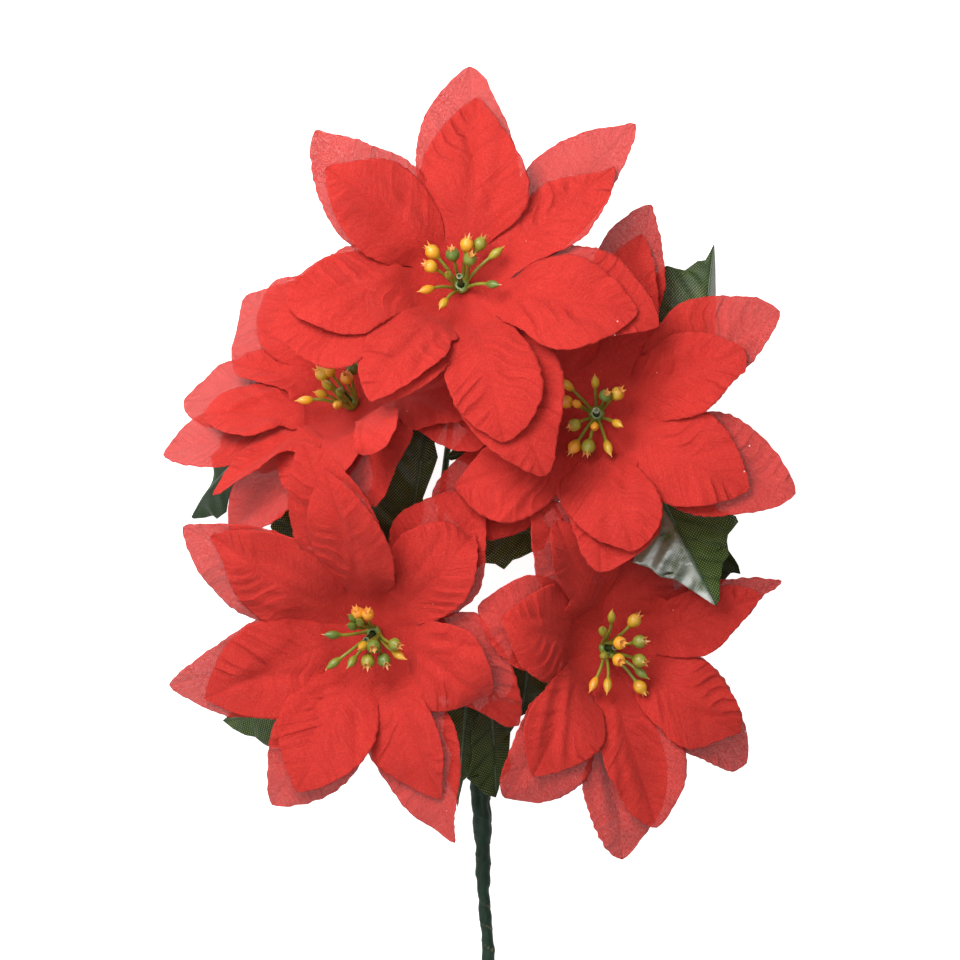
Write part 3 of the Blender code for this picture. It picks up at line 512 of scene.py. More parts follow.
# Each layer: azimuth of its first lobe, or of every lobe; then the lobes anticlockwise from the one that
# points up the plan: tip from the hub x, y, z, slope there, and for one that differs its share of the
# usual width, or its half widths clockwise and anticlockwise
LOBE_TIPS = {
    "top_back": (
        84.0,
        (3.0, 84.0, -4.3, -5.0, (14, 18, 19.5, 17.5, 14, 9.5, 6.5), (12.5, 16, 19.5, 19.5, 17, 12, 6.5)),
        (-54.8, 59.6, 5.6, -4.0, (13.5, 17, 18.5, 17, 12, 8, 3.5), (13.5, 17, 21, 20.5, 17, 12, 7)),
        (-71.2, -15.8, 21.1, -15.0, BACK_EDGE, (15.5, 19.5, 22, 24, 25, 17, 6.5)),
        (-33.0, -40.0, 24.7, -60.0, 0.8),
        (31.1, -69.8, 27.6, -10.0, (13.5, 17.5, 20, 19, 16, 11, 6), (15.5, 20, 22.5, 21, 16, 10, 6)),
        (73.5, -13.9, 20.0, -10.0, (10.5, 13.5, 15.5, 14, 9.5, 6, 3), (15.5, 23, 25, 25, 22, 15.5, 9.5)),
        (65.2, 62.2, -2.4, -5.0, (10, 12.5, 14, 13.5, 10.5, 7.5, 4.5), (13, 17, 19, 19.5, 16, 10.5, 5)),
    ),
    "top_front": (
        82.0,
        (5.6, 72.0, 0.3, -5.0, (15.5, 21.5, 22.5, 20, 15, 9.5, 5), FRONT_EDGE),
        (-50.2, 45.8, 10.9, -10.0, (12, 15, 17.5, 18, 15.5, 10.5, 5), FRONT_EDGE),
        (-65.2, -4.9, 21.9, -10.0, (7.5, 12, 17.5, 16, 13.5, 10, 5), (11, 13.5, 16.5, 19.5, 17, 12, 7)),
        (-34.1, -42.0, 36.3, 0.0, (9, 11.5, 14, 15, 13.5, 11, 7), (10, 13, 14.5, 12, 9, 6, 3)),
        (16.1, -57.4, 32.4, -5.0, (10.5, 13, 16, 16, 14, 10, 5), (10.5, 15.5, 18, 19, 18.5, 14.5, 9.5)),
        (65.6, -8.2, 22.0, -10.0, (11, 14, 19, 20.5, 17, 12, 6.5), FRONT_EDGE),
        (57.0, 46.1, 4.4, -5.0, (8.5, 10.5, 13.5, 15, 12, 9, 5), (8.5, 7, 11, 12.5, 9, 4.5, 1.5)),
    ),
    "left_back": (
        (100.0, 144.0, 188.0, 228.0, 266.0, 306.0, 354.0),
        (-42.4, 43.5, -36.3, -42.0, BACK_EDGE, (15.5, 21, 25, 25, 25, 14.5, 6.5)),
        (-66.3, 4.0, -27.3, -40.0, (10, 12.5, 14, 16, 15, 11.5, 6), BACK_EDGE),
        (-72.8, -17.6, -7.3, -15.0, BACK_EDGE, (8.5, 10.5, 11.5, 15, 13.5, 9.5, 5.5)),
        (-47.4, -45.8, -0.8, -12.0, (15, 19.5, 21.5, 23.5, 23.5, 17.5, 9.5),
            (8.5, 7, 10.5, 13.5, 14, 9.5, 4.5)),
        (-25.0, -35.0, 10.7, -40.0),
        (7.5, -37.1, 22.0, -30.0, BACK_EDGE, (10.5, 13, 11, 9.5, 7.5, 5.5, 3)),
        (50.0, -10.0, 18.1, -20.0, (7, 10, 11.5, 12, 12, 11, 9), BACK_EDGE),
    ),
    "left_front": (
        (96.0, 140.0, 184.0, 218.0, 260.0, 302.0, 350.0),
        (-31.9, 49.1, -30.7, -45.0, FRONT_EDGE, (14, 17.5, 20, 20.5, 17.5, 12, 6.5)),
        (-46.5, 17.3, -16.7, -50.0, (8, 9, 9, 9, 8.5, 7, 5.5), (6, 7.5, 7.5, 7, 6.5, 5, 3)),
        (-57.8, -2.6, -2.7, -35.0, (12, 13.5, 14, 13.5, 12, 10, 7), (3.5, 7.5, 11, 13, 11, 7, 3)),
        (-53.2, -32.6, 14.8, -15.0, (10, 12, 12, 11, 9, 6.5, 3.5), (3, 4, 4, 3.5, 3, 2, 1.5)),
        (-27.0, -29.6, 15.3, -15.0, (14, 17, 19, 19.5, 19, 16, 11), FRONT_EDGE),
        (3.8, -18.0, 44.0, -20.0, (5, 4.5, 3.5, 2.5, 2.5, 3, 3.5), (10.5, 12, 13.5, 15, 15.5, 14.5, 11)),
        (45.0, -4.0, 19.9, -30.0, (8.5, 10.5, 13, 13, 6.5, 3.5, 1), FRONT_EDGE),
    ),
    "right_back": (
        66.0,
        (20.6, 79.5, -2.5, -5.0, (8.5, 7.5, 9.5, 10.5, 8.5, 6, 3), (12.5, 15.5, 17.5, 18.5, 16.5, 12.5, 7)),
        (-28.0, 54.0, -5.5, -45.0),
        (-58.0, 16.0, -5.9, -40.0),
        (-61.9, -31.1, 3.2, -22.0, (11, 14, 14.5, 13.5, 11, 8, 4.5), (15, 19, 23, 24, 23, 18, 9.5)),
        (1.1, -58.9, 30.4, 8.0, (12.5, 16, 15.5, 12, 9.5, 7.5, 5), (14, 19.5, 22.5, 23.5, 22, 16.5, 9)),
        (73.9, -29.6, 20.0, -5.0, (11.5, 14.5, 18, 18, 14.5, 11, 7), (13.5, 17, 21, 21.5, 18, 12.5, 6.5)),
        (68.2, 38.6, 20.1, -5.0, (11.5, 14.5, 15, 12, 10.5, 7.5, 4.5), (15.5, 19.5, 22, 23.5, 20, 14, 9)),
    ),
    "right_front": (
        72.0,
        (17.2, 68.2, 1.5, -5.0, (10.5, 13, 13, 11.5, 9, 6.5, 3.5), (11.5, 14.5, 16, 15.5, 13, 8.5, 4)),
        (-22.0, 46.0, 3.5, -45.0),
        (-50.0, 12.0, 2.9, -34.0),
        (-53.2, -27.0, 18.8, -38.0, (8.5, 10.5, 10.5, 11, 9.5, 5.5, 2.5),
            (11.5, 14.5, 18, 20, 19.5, 15, 8.5)),
        (13.1, -51.0, 32.6, 0.0, (14.5, 18, 19, 18, 15.5, 11.5, 5.5), (9.5, 12, 14, 15.5, 15.5, 13, 8)),
        (56.6, -28.1, 24.0, -10.0),
        (54.8, 24.4, 23.9, -10.0, (12, 14, 15.5, 16, 13, 9.5, 8), (10.5, 13.5, 15.5, 15.5, 13, 9.5, 4.5)),
    ),
    "low_left_back": (
        95.0,
        (-27.0, 70.9, 38.8, -8.0, 0.86),
        (-72.8, 39.0, 10.6, -18.0, (11.5, 15, 17.5, 18, 13.5, 8, 4), (13.5, 17, 19, 18.5, 15.5, 11, 6.5)),
        (-78.4, -20.6, -2.8, -10.0, (11, 14, 17, 14, 10, 6.5, 3.5), BACK_EDGE),
        (-39.8, -66.4, -4.5, -25.0, (12, 15.5, 17, 16, 12.5, 8, 4.5), BACK_EDGE),
        (29.6, -79.9, 6.3, -5.0, (14, 17.5, 19.5, 18, 15, 10, 4.5), (10.5, 13.5, 16, 14.5, 10, 5, 2)),
        (53.6, -36.0, 5.2, -28.0, (8.5, 10.5, 12, 9, 6, 4.5, 3.5), (15.5, 23.5, 21, 19, 15, 10.5, 5.5)),
        (40.9, 51.0, 13.7, -65.0, (13, 16.5, 18, 15, 9.5, 5, 4), (15, 19, 23, 23, 18.5, 13.5, 8)),
    ),
    "low_left_front": (
        94.0,
        (-19.1, 60.4, 43.2, 5.0, (12.5, 15.5, 17, 16.5, 13.5, 9, 4.5), (9, 11, 13.5, 14, 12, 9, 4.5)),
        (-62.3, 35.3, 17.4, -10.0, FRONT_EDGE, (13, 16, 18, 16.5, 12, 6.5, 3)),
        (-64.9, -25.9, 0.8, -10.0),
        (-29.6, -60.8, 6.5, -15.0),
        (24.0, -63.4, 9.7, -10.0, FRONT_EDGE, (8.5, 9.5, 11, 10.5, 9, 5.5, 2.5)),
        (41.6, -25.1, 14.8, -60.0),
        (36.4, 36.0, 23.4, -70.0, (10, 12.5, 14, 14, 11.5, 7, 3.5), (14.5, 18, 19.5, 20, 17.5, 13.5, 9.5)),
    ),
    "low_right_back": (
        120.0,
        (-25.5, 57.0, 30.2, -26.0, BACK_EDGE, (10.5, 14, 15.5, 15.5, 12, 7.5, 4.5)),
        (-47.2, 16.5, 27.2, -20.0, BACK_EDGE, (12, 15, 16.5, 16.5, 14, 10, 5.5)),
        (-37.3, -55.6, 21.8, -30.0, (8.5, 8.5, 10.5, 10, 8.5, 7, 4.5),
            (13.5, 17, 21, 23.5, 21.5, 17.5, 12)),
        (7.1, -79.1, 13.4, -5.0, (8.5, 11, 12, 15.5, 13, 10, 6.5), BACK_EDGE),
        (55.1, -43.9, -8.0, -30.0, (10, 12.5, 14, 14, 11, 8.5, 6.5), (14.5, 19, 19, 17, 14, 10, 6)),
        (67.9, 25.5, -1.8, -5.0, (10.5, 13.5, 14, 10.5, 7, 3, 2), (9, 12.5, 13, 11, 8, 5.5, 2.5)),
        (26.0, 39.0, -10.5, -32.0, 1.22),
    ),
    "low_right_front": (
        121.0,
        (-18.0, 48.8, 33.8, -8.0, FRONT_EDGE, (4, 7, 8.5, 9, 8.5, 6.5, 4.5)),
        (-38.6, 12.0, 34.8, -10.0, FRONT_EDGE, (18, 18, 18, 17, 14, 8.5, 3.5)),
        (-26.6, -46.9, 28.2, 0.0, (8.5, 10.5, 12, 13.5, 12, 8, 4.5), FRONT_EDGE),
        (20.2, -67.1, 13.6, -5.0, (9, 11, 13, 13, 11, 9, 5.5), (12.5, 15.5, 18.5, 20, 18, 13, 7)),
        (52.0, -32.2, -1.0, -30.0, (12, 15, 16.5, 18, 15, 8, 2.5), (11, 14, 16, 14.5, 12, 9, 6)),
        (60.0, 20.0, 2.8, -5.0, (10, 12.5, 14, 12.5, 8.5, 5.5, 2.5), (8.5, 10.5, 11.5, 10.5, 9, 7, 4)),
        (22.0, 34.0, -4.5, -40.0),
    ),
}


def vector_node(tree, operation, inputs):
    return add_node(tree, "ShaderNodeVectorMath", inputs, operation=operation).outputs[0]


def woven_group():
    """Threads that cross at right angles, loosely beaten, with slubs. Place is in millimetres."""
    group = bpy.data.node_groups.new("woven_cloth", "ShaderNodeTree")
    face = group.interface
    face.new_socket("Place", in_out="INPUT", socket_type="NodeSocketVector")
    face.new_socket("Pitch", in_out="INPUT", socket_type="NodeSocketFloat").default_value = 0.4
    face.new_socket("Wander", in_out="INPUT", socket_type="NodeSocketFloat").default_value = 0.3
    for name in ("Knots", "Threads", "Slubs"):
        face.new_socket(name, in_out="OUTPUT", socket_type="NodeSocketFloat")
    start = group.nodes.new("NodeGroupInput").outputs
    end = group.nodes.new("NodeGroupOutput").inputs
    place = start["Place"]
    wander = add_node(group, "ShaderNodeTexNoise", {"Vector": place, "Scale": 0.35}).outputs["Color"]
    shift = vector_node(group, "SUBTRACT", {0: wander, 1: (0.5, 0.5, 0.5)})
    shift = vector_node(group, "SCALE", {0: shift, "Scale": start["Wander"]})
    moved = add_node(group, "ShaderNodeSeparateXYZ", {0: vector_node(group, "ADD", {0: place, 1: shift})})
    beat = math_node(group, "DIVIDE", math.pi, start["Pitch"])
    rows = []
    for axis in (0, 1):
        wave = math_node(group, "SINE", times(group, moved.outputs[axis], beat))
        rows.append(math_node(group, "ABSOLUTE", wave))
    knots = times(group, *rows)
    threads = times(group, plus(group, math_node(group, "MAXIMUM", *rows), knots), 0.5)
    slubs = [noise(group, laid(group, place, pull), 1.0, 2.0) for pull in ((0.3, 2.4, 1.0), (2.6, 0.36, 1.0))]
    group.links.new(knots, end["Knots"])
    group.links.new(threads, end["Threads"])
    group.links.new(math_node(group, "MAXIMUM", *slubs), end["Slubs"])
    return group


WOVEN = woven_group()


def cloth_nodes(tree, place, pitch, wander):
    """The weave laid on a piece's flat pattern."""
    made = tree.nodes.new("ShaderNodeGroup")
    made.node_tree = WOVEN
    tree.links.new(place, made.inputs["Place"])
    made.inputs["Pitch"].default_value = pitch
    made.inputs["Wander"].default_value = wander
    return made.outputs


def tinted(colour, shares):
    return (*(np.array(colour) * shares), 1.0)


def press_folds(tree, flat):
    """Slanting folds counted up the lobe, how far across its fold a place is, and how deep the fold is."""
    bend = noise(tree, flat, 0.22, 2.0)
    count = plus(tree, attribute(tree, "pleat"), times(tree, bend, 0.35))
    pick = {"W": math_node(tree, "FLOOR", count)}
    depth = add_node(tree, "ShaderNodeTexWhiteNoise", pick, noise_dimensions="1D").outputs["Value"]
    return count, math_node(tree, "FRACT", count), times(tree, attribute(tree, "vein"), depth)


def painted_crease_shade(tree, across, depth):
    """Painted shade: a dark, deep red line in each fold and along the rib."""
    line = math_node(tree, "ABSOLUTE", minus(tree, across, 0.84))
    line = minus(tree, 1.0, times(tree, line, 6.0), clamp=True)
    line = times(tree, times(tree, line, line), times(tree, depth, 0.85))
    return math_node(tree, "MAXIMUM", line, times(tree, attribute(tree, "crease"), 0.22))


def fold_relief(tree, across, depth):
    """Each fold climbs slowly and drops sharply to the next."""
    climb = times(tree, math_node(tree, "POWER", across, 2.0), times(tree, depth, 5.0))
    return times(tree, climb, span(tree, across, 1.0, 0.82, interpolation_type="SMOOTHSTEP"))


def crinkles(tree, flat, count):
    """Fine wrinkles that follow the folds, from just past the hub outward, and none on the rib."""
    along = vector_node(tree, "SCALE", {0: flat, "Scale": 0.08})
    slant = add_node(tree, "ShaderNodeCombineXYZ", {"Z": times(tree, count, 3.4)}).outputs[0]
    wrinkle = noise(tree, vector_node(tree, "ADD", {0: slant, 1: along}), 1.0, 2.0)
    reach = add_node(tree, "ShaderNodeVectorMath", {0: flat}, operation="LENGTH").outputs[1]
    beside = minus(tree, 1.0, times(tree, attribute(tree, "crease"), 3.0), clamp=True)
    pressed = times(tree, span(tree, reach, SLIT_R + 1.0, SLIT_R + 7.0), beside)
    return times(tree, minus(tree, wrinkle, 0.5), pressed)


def petal_material(name, deep, bright, cover):
    """Red polyester: painted shade deepens its creases and wrinkles, a painted highlight brightens its
    threads, and it is clear in its gaps.
    """
    material, tree, shader = new_material(
        name,
        Specular_IOR_Level=0.18,
        Sheen_Weight=0.05,
        Sheen_Roughness=0.45,
        Sheen_Tint=(1.0, 0.45, 0.4, 1.0),
    )
    flat = attribute(tree, "flat", "Vector")
    cloth = cloth_nodes(tree, flat, *PETAL_WEAVE)
    red = ramp(tree, noise(tree, flat, 0.09, 4.0), ((0.3, deep), (0.7, bright)))
    # Painted highlight: the threads lighter and pinker, as where they catch light
    red = mix_colour(tree, times(tree, cloth["Threads"], 0.7), red, tinted(bright, (1.25, 1.4, 1.4)))
    slub = times(tree, mask(tree, cloth["Slubs"], 0.48, 0.70), 0.34)
    red = mix_colour(tree, slub, red, tinted(bright, (1.3, 3.0, 2.9)))
    streaks = [noise(tree, laid(tree, flat, pull), 1.0, 1.5) for pull in ((0.8, 4.0, 1.0), (4.4, 0.7, 1.0))]
    grain = times(tree, plus(tree, *streaks), 0.5)
    red = mix_colour(tree, span(tree, grain, 0.57, 0.43, 0.0, 0.56), red, tinted(deep, (0.7, 0.7, 0.7)))
    count, across, depth = press_folds(tree, flat)
    # Painted shade: the folds' lines and the rib darkened to a deep, saturated red
    red = mix_colour(tree, painted_crease_shade(tree, across, depth), red, tinted(deep, (0.66, 0.3, 0.3)))
    wrinkle = crinkles(tree, flat, count)
    # Painted shade: the low sides of the fine wrinkles darkened to deep red
    hollow = span(tree, wrinkle, 0.0, -0.2, 0.0, 0.34)
    red = mix_colour(tree, hollow, red, tinted(deep, (0.75, 0.45, 0.45)))
    specks = add_node(tree, "ShaderNodeTexVoronoi", {"Vector": flat, "Scale": 0.075}).outputs["Distance"]
    red = mix_colour(tree, times(tree, math_node(tree, "LESS_THAN", specks, 0.022), 0.75), red, LINT)
    back = add_node(tree, "ShaderNodeNewGeometry").outputs["Backfacing"]
    clear = times(tree, span(tree, grain, 0.42, 0.62, cover, cover - 0.09), minus(tree, 1.0, back))
    height = plus(tree, cloth["Threads"], times(tree, cloth["Slubs"], 2.0))
    height = plus(tree, height, times(tree, grain, 2.0))
    height = plus(tree, height, fold_relief(tree, across, depth))
    height = plus(tree, height, times(tree, wrinkle, 3.0))
    rough = span(tree, cloth["Threads"], 0.0, 1.0, 0.92, 0.7)
    normal = bump(tree, height, 0.85, 0.00012)
    plug(tree, shader, Base_Color=red, Roughness=rough, Alpha=clear, Normal=normal)
    material.use_transparent_shadow = False
    return material


PETAL_FINISH = {layer: petal_material(f"{layer}_petals", *cloth) for layer, cloth in PETAL_CLOTHS.items()}


class Lobe:
    """One lobe: the curve of its rib from the end of the cuts to the tip, and its outline."""

    def __init__(self, seat, layer, azimuths, row):
        before, azimuth, after = azimuths
        self.azimuths = azimuths
        self.half_angles = (abs(azimuth - before) / 2, abs(after - azimuth) / 2)
        front = layer == "front"
        lift = FRONT_LIFT if front else 0.0
        tip = seat.centre + np.array(row[:3])
        slope = math.radians(row[3])
        tip_way = unit(np.array((row[0], row[1], 0.0))) * math.cos(slope)
        tip_way[2] = math.sin(slope)
        chord = unit(tip - seat.spot(SLIT_R, azimuth, lift))
        start_way = unit(2.0 * chord - tip_way)
        rise = math.degrees(math.asin(max(-1.0, min(1.0, np.dot(start_way, seat.face)))))
        rise = max(FLATTEST_START, min(STEEPEST_START, rise)) + (FRONT_OPEN if front else 0.0)
        self.rise = math.tan(math.radians(rise))
        start = seat.spot(SLIT_R, azimuth, lift + self.height(SLIT_R))
        start_way = unit(seat.way(azimuth) + seat.face * self.rise)
        handle = np.linalg.norm(tip - start) * PETAL_HANDLE
        self.rib = (start, start + start_way * handle, tip - tip_way * handle, tip)
        self.seat = seat
        self.layer = layer
        self.widest = PETAL_HALF_WIDTH[layer] * (row[4] if len(row) == 5 else 1.0)
        self.edges = row[4:] if len(row) > 5 else (None, None)

    def height(self, radius):
        """How far the cup has risen at a radius between the flat hub and the cuts' ends."""
        return self.rise * np.maximum(0.0, radius - HUB_R) ** 2 / (2 * (SLIT_R - HUB_R))

    def half_width(self, side, radius, shares, usual, jag):
        """Half widths down the clockwise side (0) or the anticlockwise one (1), within the lobe's sector."""
        sector = radius * math.tan(math.radians(min(self.half_angles[side], WIDEST_SECTOR)))
        allowed = sector + 2.6 * smooth(0.0, 0.16, shares)
        wanted = usual
        edge = self.edges[side]
        if edge:
            allowed = sector + 0.6 + 9.0 * smooth(0.0, 0.3, shares)
            knots = [(0.0, sector[0], 0.0), *((s, w, 0.0) for s, w in zip(WIDTH_SHARES, edge))]
            curve, _ = through(knots + [(1.0, 0.72 * edge[-1], 0.0)], 150)
            wanted = np.interp(shares, curve[:, 0], curve[:, 1])
            wanted = wanted * np.sqrt(np.clip((1.0 - shares) / 0.07, 0.0, 1.0))
            if side == 1:
                # Each lobe's foot reaches under the next one, so that no gap shows between them
                wanted = np.maximum(wanted, (sector + 1.9) * (1 - smooth(0.14, 0.42, shares)))
        # The smaller of the two, rounded where they cross
        width = -np.log(np.exp(-wanted) + np.exp(-allowed))
        width = np.where(shares <= 0.0, sector, width) + jag * smooth(0.02, 0.1, shares)
        return np.maximum(width, 0.05)

    def folds(self, down, share, x, v, chance):
        """The count of pressed folds over the lobe, and how strongly each place took the press."""
        spacing = chance.uniform(*VEIN_SPACINGS)
        bow = 0.0035 * x * x
        count = (down - chance.uniform(0.7, 1.1) * np.abs(x) + bow) / spacing + chance.uniform(0, 200)
        count = count + 0.22 * np.sin(down * 0.23 + x * 0.31 + chance.uniform(0, 6.3))
        # The folds of the two halves don't meet at the rib
        count = count + np.where(v < 0, 0.0, 20.45)
        patchy = np.sin(down * 0.13 + chance.uniform(0, 6.3) + np.sign(v) * 1.3)
        finer = np.sin(x * 0.22 + down * 0.07 + chance.uniform(0, 6.3))
        patchy = smooth(-0.7, 0.9, patchy + 0.6 * finer)
        veins = smooth(1.0, 5.0, np.abs(x)) * (1 - 0.4 * smooth(0.75, 1.0, np.abs(v))) * patchy
        return count, veins * smooth(0.05, 0.3, share) * (1 - smooth(0.93, 1.0, share))

    def grid(self, shares, v, chance):
        """Points, surface directions, pattern places and crease marks over the lobe."""
        middles, ways, rib_length = curve_spots(self.rib, shares)
        radius = SLIT_R + shares * rib_length
        normals = np.array([square_to(self.seat.face, way) for way in ways])
        sides = np.cross(normals, ways)
        bulge = np.sin(math.pi * np.minimum(radius / (SLIT_R + rib_length), 1.0) ** WIDEST_OUTWARD)
        usual = self.widest * bulge ** PETAL_BLUNTNESS[self.layer]
        jag = np.zeros((len(shares), 2))
        for _ in range(JAG_WAVES):
            pace = chance.uniform(*JAG_PACES, 2)
            jag += np.sin(radius[:, None] * pace + chance.uniform(0, 6.3, 2)) * JAG_DEPTH
        widths = [self.half_width(side, radius, shares, usual, jag[:, side])[:, None] for side in (0, 1)]
        v = v[None]
        x = v * np.where(v < 0, *widths)
        down, share = radius[:, None], shares[:, None]
        fold = math.radians(PETAL_FOLD[self.layer])
        open_up = smooth(0.0, 0.12, share)
        crease = np.exp(-((x / PRESSED_RIB) ** 2)) * (0.35 + 0.65 * share)
        lift = (np.sqrt(x * x + 2.0) - 1.42) * math.sin(fold) - RIB_GROOVE * crease * open_up
        count, veins = self.folds(down, share, x, v, chance)
        phase = count - np.floor(count)
        lift += veins * (phase**1.3 * (1 - smooth(0.6, 1.0, phase))) * chance.uniform(0.6, 1.05)
        for _ in range(SOFT_WAVES):
            start, lean, depth = (chance.uniform(-most, most) for most in (10, 0.5, 1.0))
            away = x - start - lean * (down - 30.0) - 0.004 * (down - 30.0) ** 2
            soft = depth * np.exp(-((away / chance.uniform(*SOFT_WAVE_WIDTHS)) ** 2))
            lift += soft * smooth(0.0, 0.4, share) * (1 - smooth(0.6, 0.98, share))
        ripple = np.sin(down * 2 * math.pi / chance.uniform(*RIPPLE_LENGTHS) + np.sign(v) * 1.1)
        lift += EDGE_RIPPLE * (np.abs(v) ** 3 * ripple) * open_up * (1 - smooth(0.85, 1.0, share))
        lap = LOBE_LAP * smooth(0.0, 0.05, share) * (1 - smooth(0.25, 0.9, share))
        lift -= lap * v * np.abs(v)
        points = middles[:, None] + sides[:, None] * (x * math.cos(fold))[:, :, None]
        points = points + normals[:, None] * lift[:, :, None]
        flat = np.stack([down + 0 * x, x, 0 * x], axis=2)
        marks = np.stack([crease * open_up, count, veins], axis=2)
        return points, np.repeat(normals[:, None], v.size, axis=1), flat, marks, radius


def petal_hub(seat, lobes, lift, v):
    """Rings of points over the undivided middle of a layer, and their places in its flat pattern."""
    hub, flats = [], []
    for radius in HUB_RINGS:
        for k, lobe in enumerate(lobes):
            before, azimuth, after = lobe.azimuths
            base = seat.spot(radius, azimuth, 0.0)
            height = lobe.height(radius)
            for away in v[:-1]:
                left = away < 0
                rim = seat.spot(radius * 1.1, ((before if left else after) + azimuth) / 2, 0.0)
                shared = (height + lobes[k - 1 if left else (k + 1) % LOBES].height(radius)) / 2
                risen = lift + height + (shared - height) * smooth(0, 1, abs(away))
                hub.append(base + (rim - base) * abs(away) + seat.face * risen)
                flats.append(polar(radius, azimuth + away * 180.0 / LOBES))
    return np.array(hub), np.array(flats)


def lobe_faces(first, rim, rows):
    """Faces from the hub's rim over the rows of a lobe, whose points start at first, to its tip."""
    faces = []
    cols = LOBE_COLUMNS
    for r in range(rows):
        here = [first + r * (cols + 1) + c for c in range(cols + 1)]
        faces += [(rim[c], here[c], here[c + 1], rim[c + 1]) for c in range(cols)]
        rim = here
    tip = first + rows * (cols + 1)
    return faces + [(rim[c], tip, rim[c + 1]) for c in range(cols)]


def crumple(points, chance):
    """Soft uneven waves through a sheet, from a few crossing sines."""
    lift = np.zeros(points.shape[:-1])
    for _ in range(CRUMPLE_WAVES):
        way = unit(chance.normal(size=3))
        wave = chance.uniform(*CRUMPLE_LENGTHS)
        turn = points @ way * 2 * math.pi / wave + chance.uniform(0, 6.3)
        lift += np.sin(turn) * wave * CRUMPLE_DEPTH
    return lift


def thicken(made, thickness):
    """Gives a sheet its thickness, half to each side."""
    solidify = made.modifiers.new("thickness", "SOLIDIFY")
    solidify.thickness = thickness * MM
    solidify.offset = 0.0
    bpy.context.view_layer.update()
    graph = bpy.context.evaluated_depsgraph_get()
    finished = bpy.data.meshes.new_from_object(made.evaluated_get(graph))
    made.modifiers.clear()
    made.data = finished


def petal_layer(name, layer):
    seat = SEATS[name]
    chance = np.random.default_rng(sum(ord(c) * (i + 3) for i, c in enumerate(name + layer)))
    turn, *rows = LOBE_TIPS[f"{name}_{layer}"]
    ways = turn if isinstance(turn, tuple) else tuple(turn + 360.0 / LOBES * k for k in range(LOBES))
    spread = zip((ways[-1] - 360.0, *ways[:-1]), ways, (*ways[1:], ways[0] + 360.0))
    lobes = [Lobe(seat, layer, azimuths, row) for azimuths, row in zip(spread, rows)]
    v = np.linspace(-1, 1, LOBE_COLUMNS + 1)
    hub, hub_flat = petal_hub(seat, lobes, FRONT_LIFT if layer == "front" else 0.0, v)
    ring = LOBES * LOBE_COLUMNS
    points, flats = [hub], [hub_flat]
    normals, marks = [np.repeat(seat.face[None], len(hub), axis=0)], [np.zeros(hub.shape)]
    faces = []
    for low in range(0, len(hub) - ring, ring):
        for k in range(ring):
            a, b = low + k, low + (k + 1) % ring
            faces.append((a, a + ring, b + ring, b))
    shares = (np.linspace(0, 1, LOBE_ROWS + 1) ** ROWS_TOWARDS_TIP)[:-1]
    settled = (np.maximum(0.0, 1 - shares / 0.5) ** 2)[:, None, None]
    first = len(hub)
    area = math.pi * (SLIT_R**2 - HOLE_R**2)
    for k, lobe in enumerate(lobes):
        grid, normal, flat, mark, radius = lobe.grid(shares, v, chance)
        rim = [len(hub) - ring + (k * LOBE_COLUMNS + c) % ring for c in range(LOBE_COLUMNS + 1)]
        grid = grid + (hub[rim] - grid[0])[None] * settled
        angle = math.radians(ways[0] + 360.0 / LOBES * k)
        along, across = flat[..., 0], flat[..., 1]
        x = along * math.cos(angle) - across * math.sin(angle)
        y = along * math.sin(angle) + across * math.cos(angle)
        place = np.stack([x, y, 0 * x], axis=2)
        points += [grid[1:].reshape(-1, 3), lobe.rib[3][None]]
        for rest, new in ((normals, normal), (flats, place), (marks, mark)):
            rest += [new[1:].reshape(-1, 3), new[-1, :1]]
        faces += lobe_faces(first, rim, len(shares) - 1)
        first += (len(shares) - 1) * len(v) + 1
        area += float(np.trapz(np.abs(across[:, -1] - across[:, 0]), radius))
    points, normals, marks = np.vstack(points), np.vstack(normals), np.vstack(marks)
    away = np.linalg.norm(points - seat.centre, axis=1)
    points = points + normals * (crumple(points, chance) * smooth(6.0, 24.0, away))[:, None]
    marks = {"flat": np.vstack(flats), "crease": marks[:, 0], "pleat": marks[:, 1], "vein": marks[:, 2]}
    made = new_object(f"{name}_{layer}_cloth", points, faces, marks)
    thicken(made, CLOTH)
    made.data.materials.append(PETAL_FINISH[layer])
    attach(made, "root")
    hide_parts(f"{name}_{layer}_petals")


for bloom_name in HUBS:
    for layer_name in ("back", "front"):
        petal_layer(bloom_name, layer_name)


# The stamens: one moulding for each bloom, a collar round the peg with thin stalks that end in crowned
# round berries and in pointed buds. It is moulded in leaf green and sprayed yellow and orange, so each
# tip differs.
COLLAR_HOLE_R = 1.4
COLLAR_R = 3.1
COLLAR_HEIGHT = 2.6
COLLAR_LOW = FRONT_LIFT + FABRIC / 2 + TOUCH
COLLAR_SIDES = 28
# Round the collar's wall: radius, and height over its foot
COLLAR_PROFILE = (
    (COLLAR_HOLE_R, 0.0), (COLLAR_R - 0.5, 0.0), (COLLAR_R - 0.1, COLLAR_HEIGHT * 0.3),
    (COLLAR_R, COLLAR_HEIGHT * 0.6), (COLLAR_R - 0.15, COLLAR_HEIGHT * 0.85),
    (COLLAR_R - 0.5, COLLAR_HEIGHT), (COLLAR_HOLE_R, COLLAR_HEIGHT),
)
STALK_R = 0.62
STALK_ROOT_R = 2.2
STALK_SPOTS = 9
STALK_RIPENESS = 0.42
COLLAR_RIPENESS = 0.22
CROWNED_SIDES = 15
BUD_SIDES = 12
BERRY_REACH = 20.0
LOWEST_BERRY = 9.0
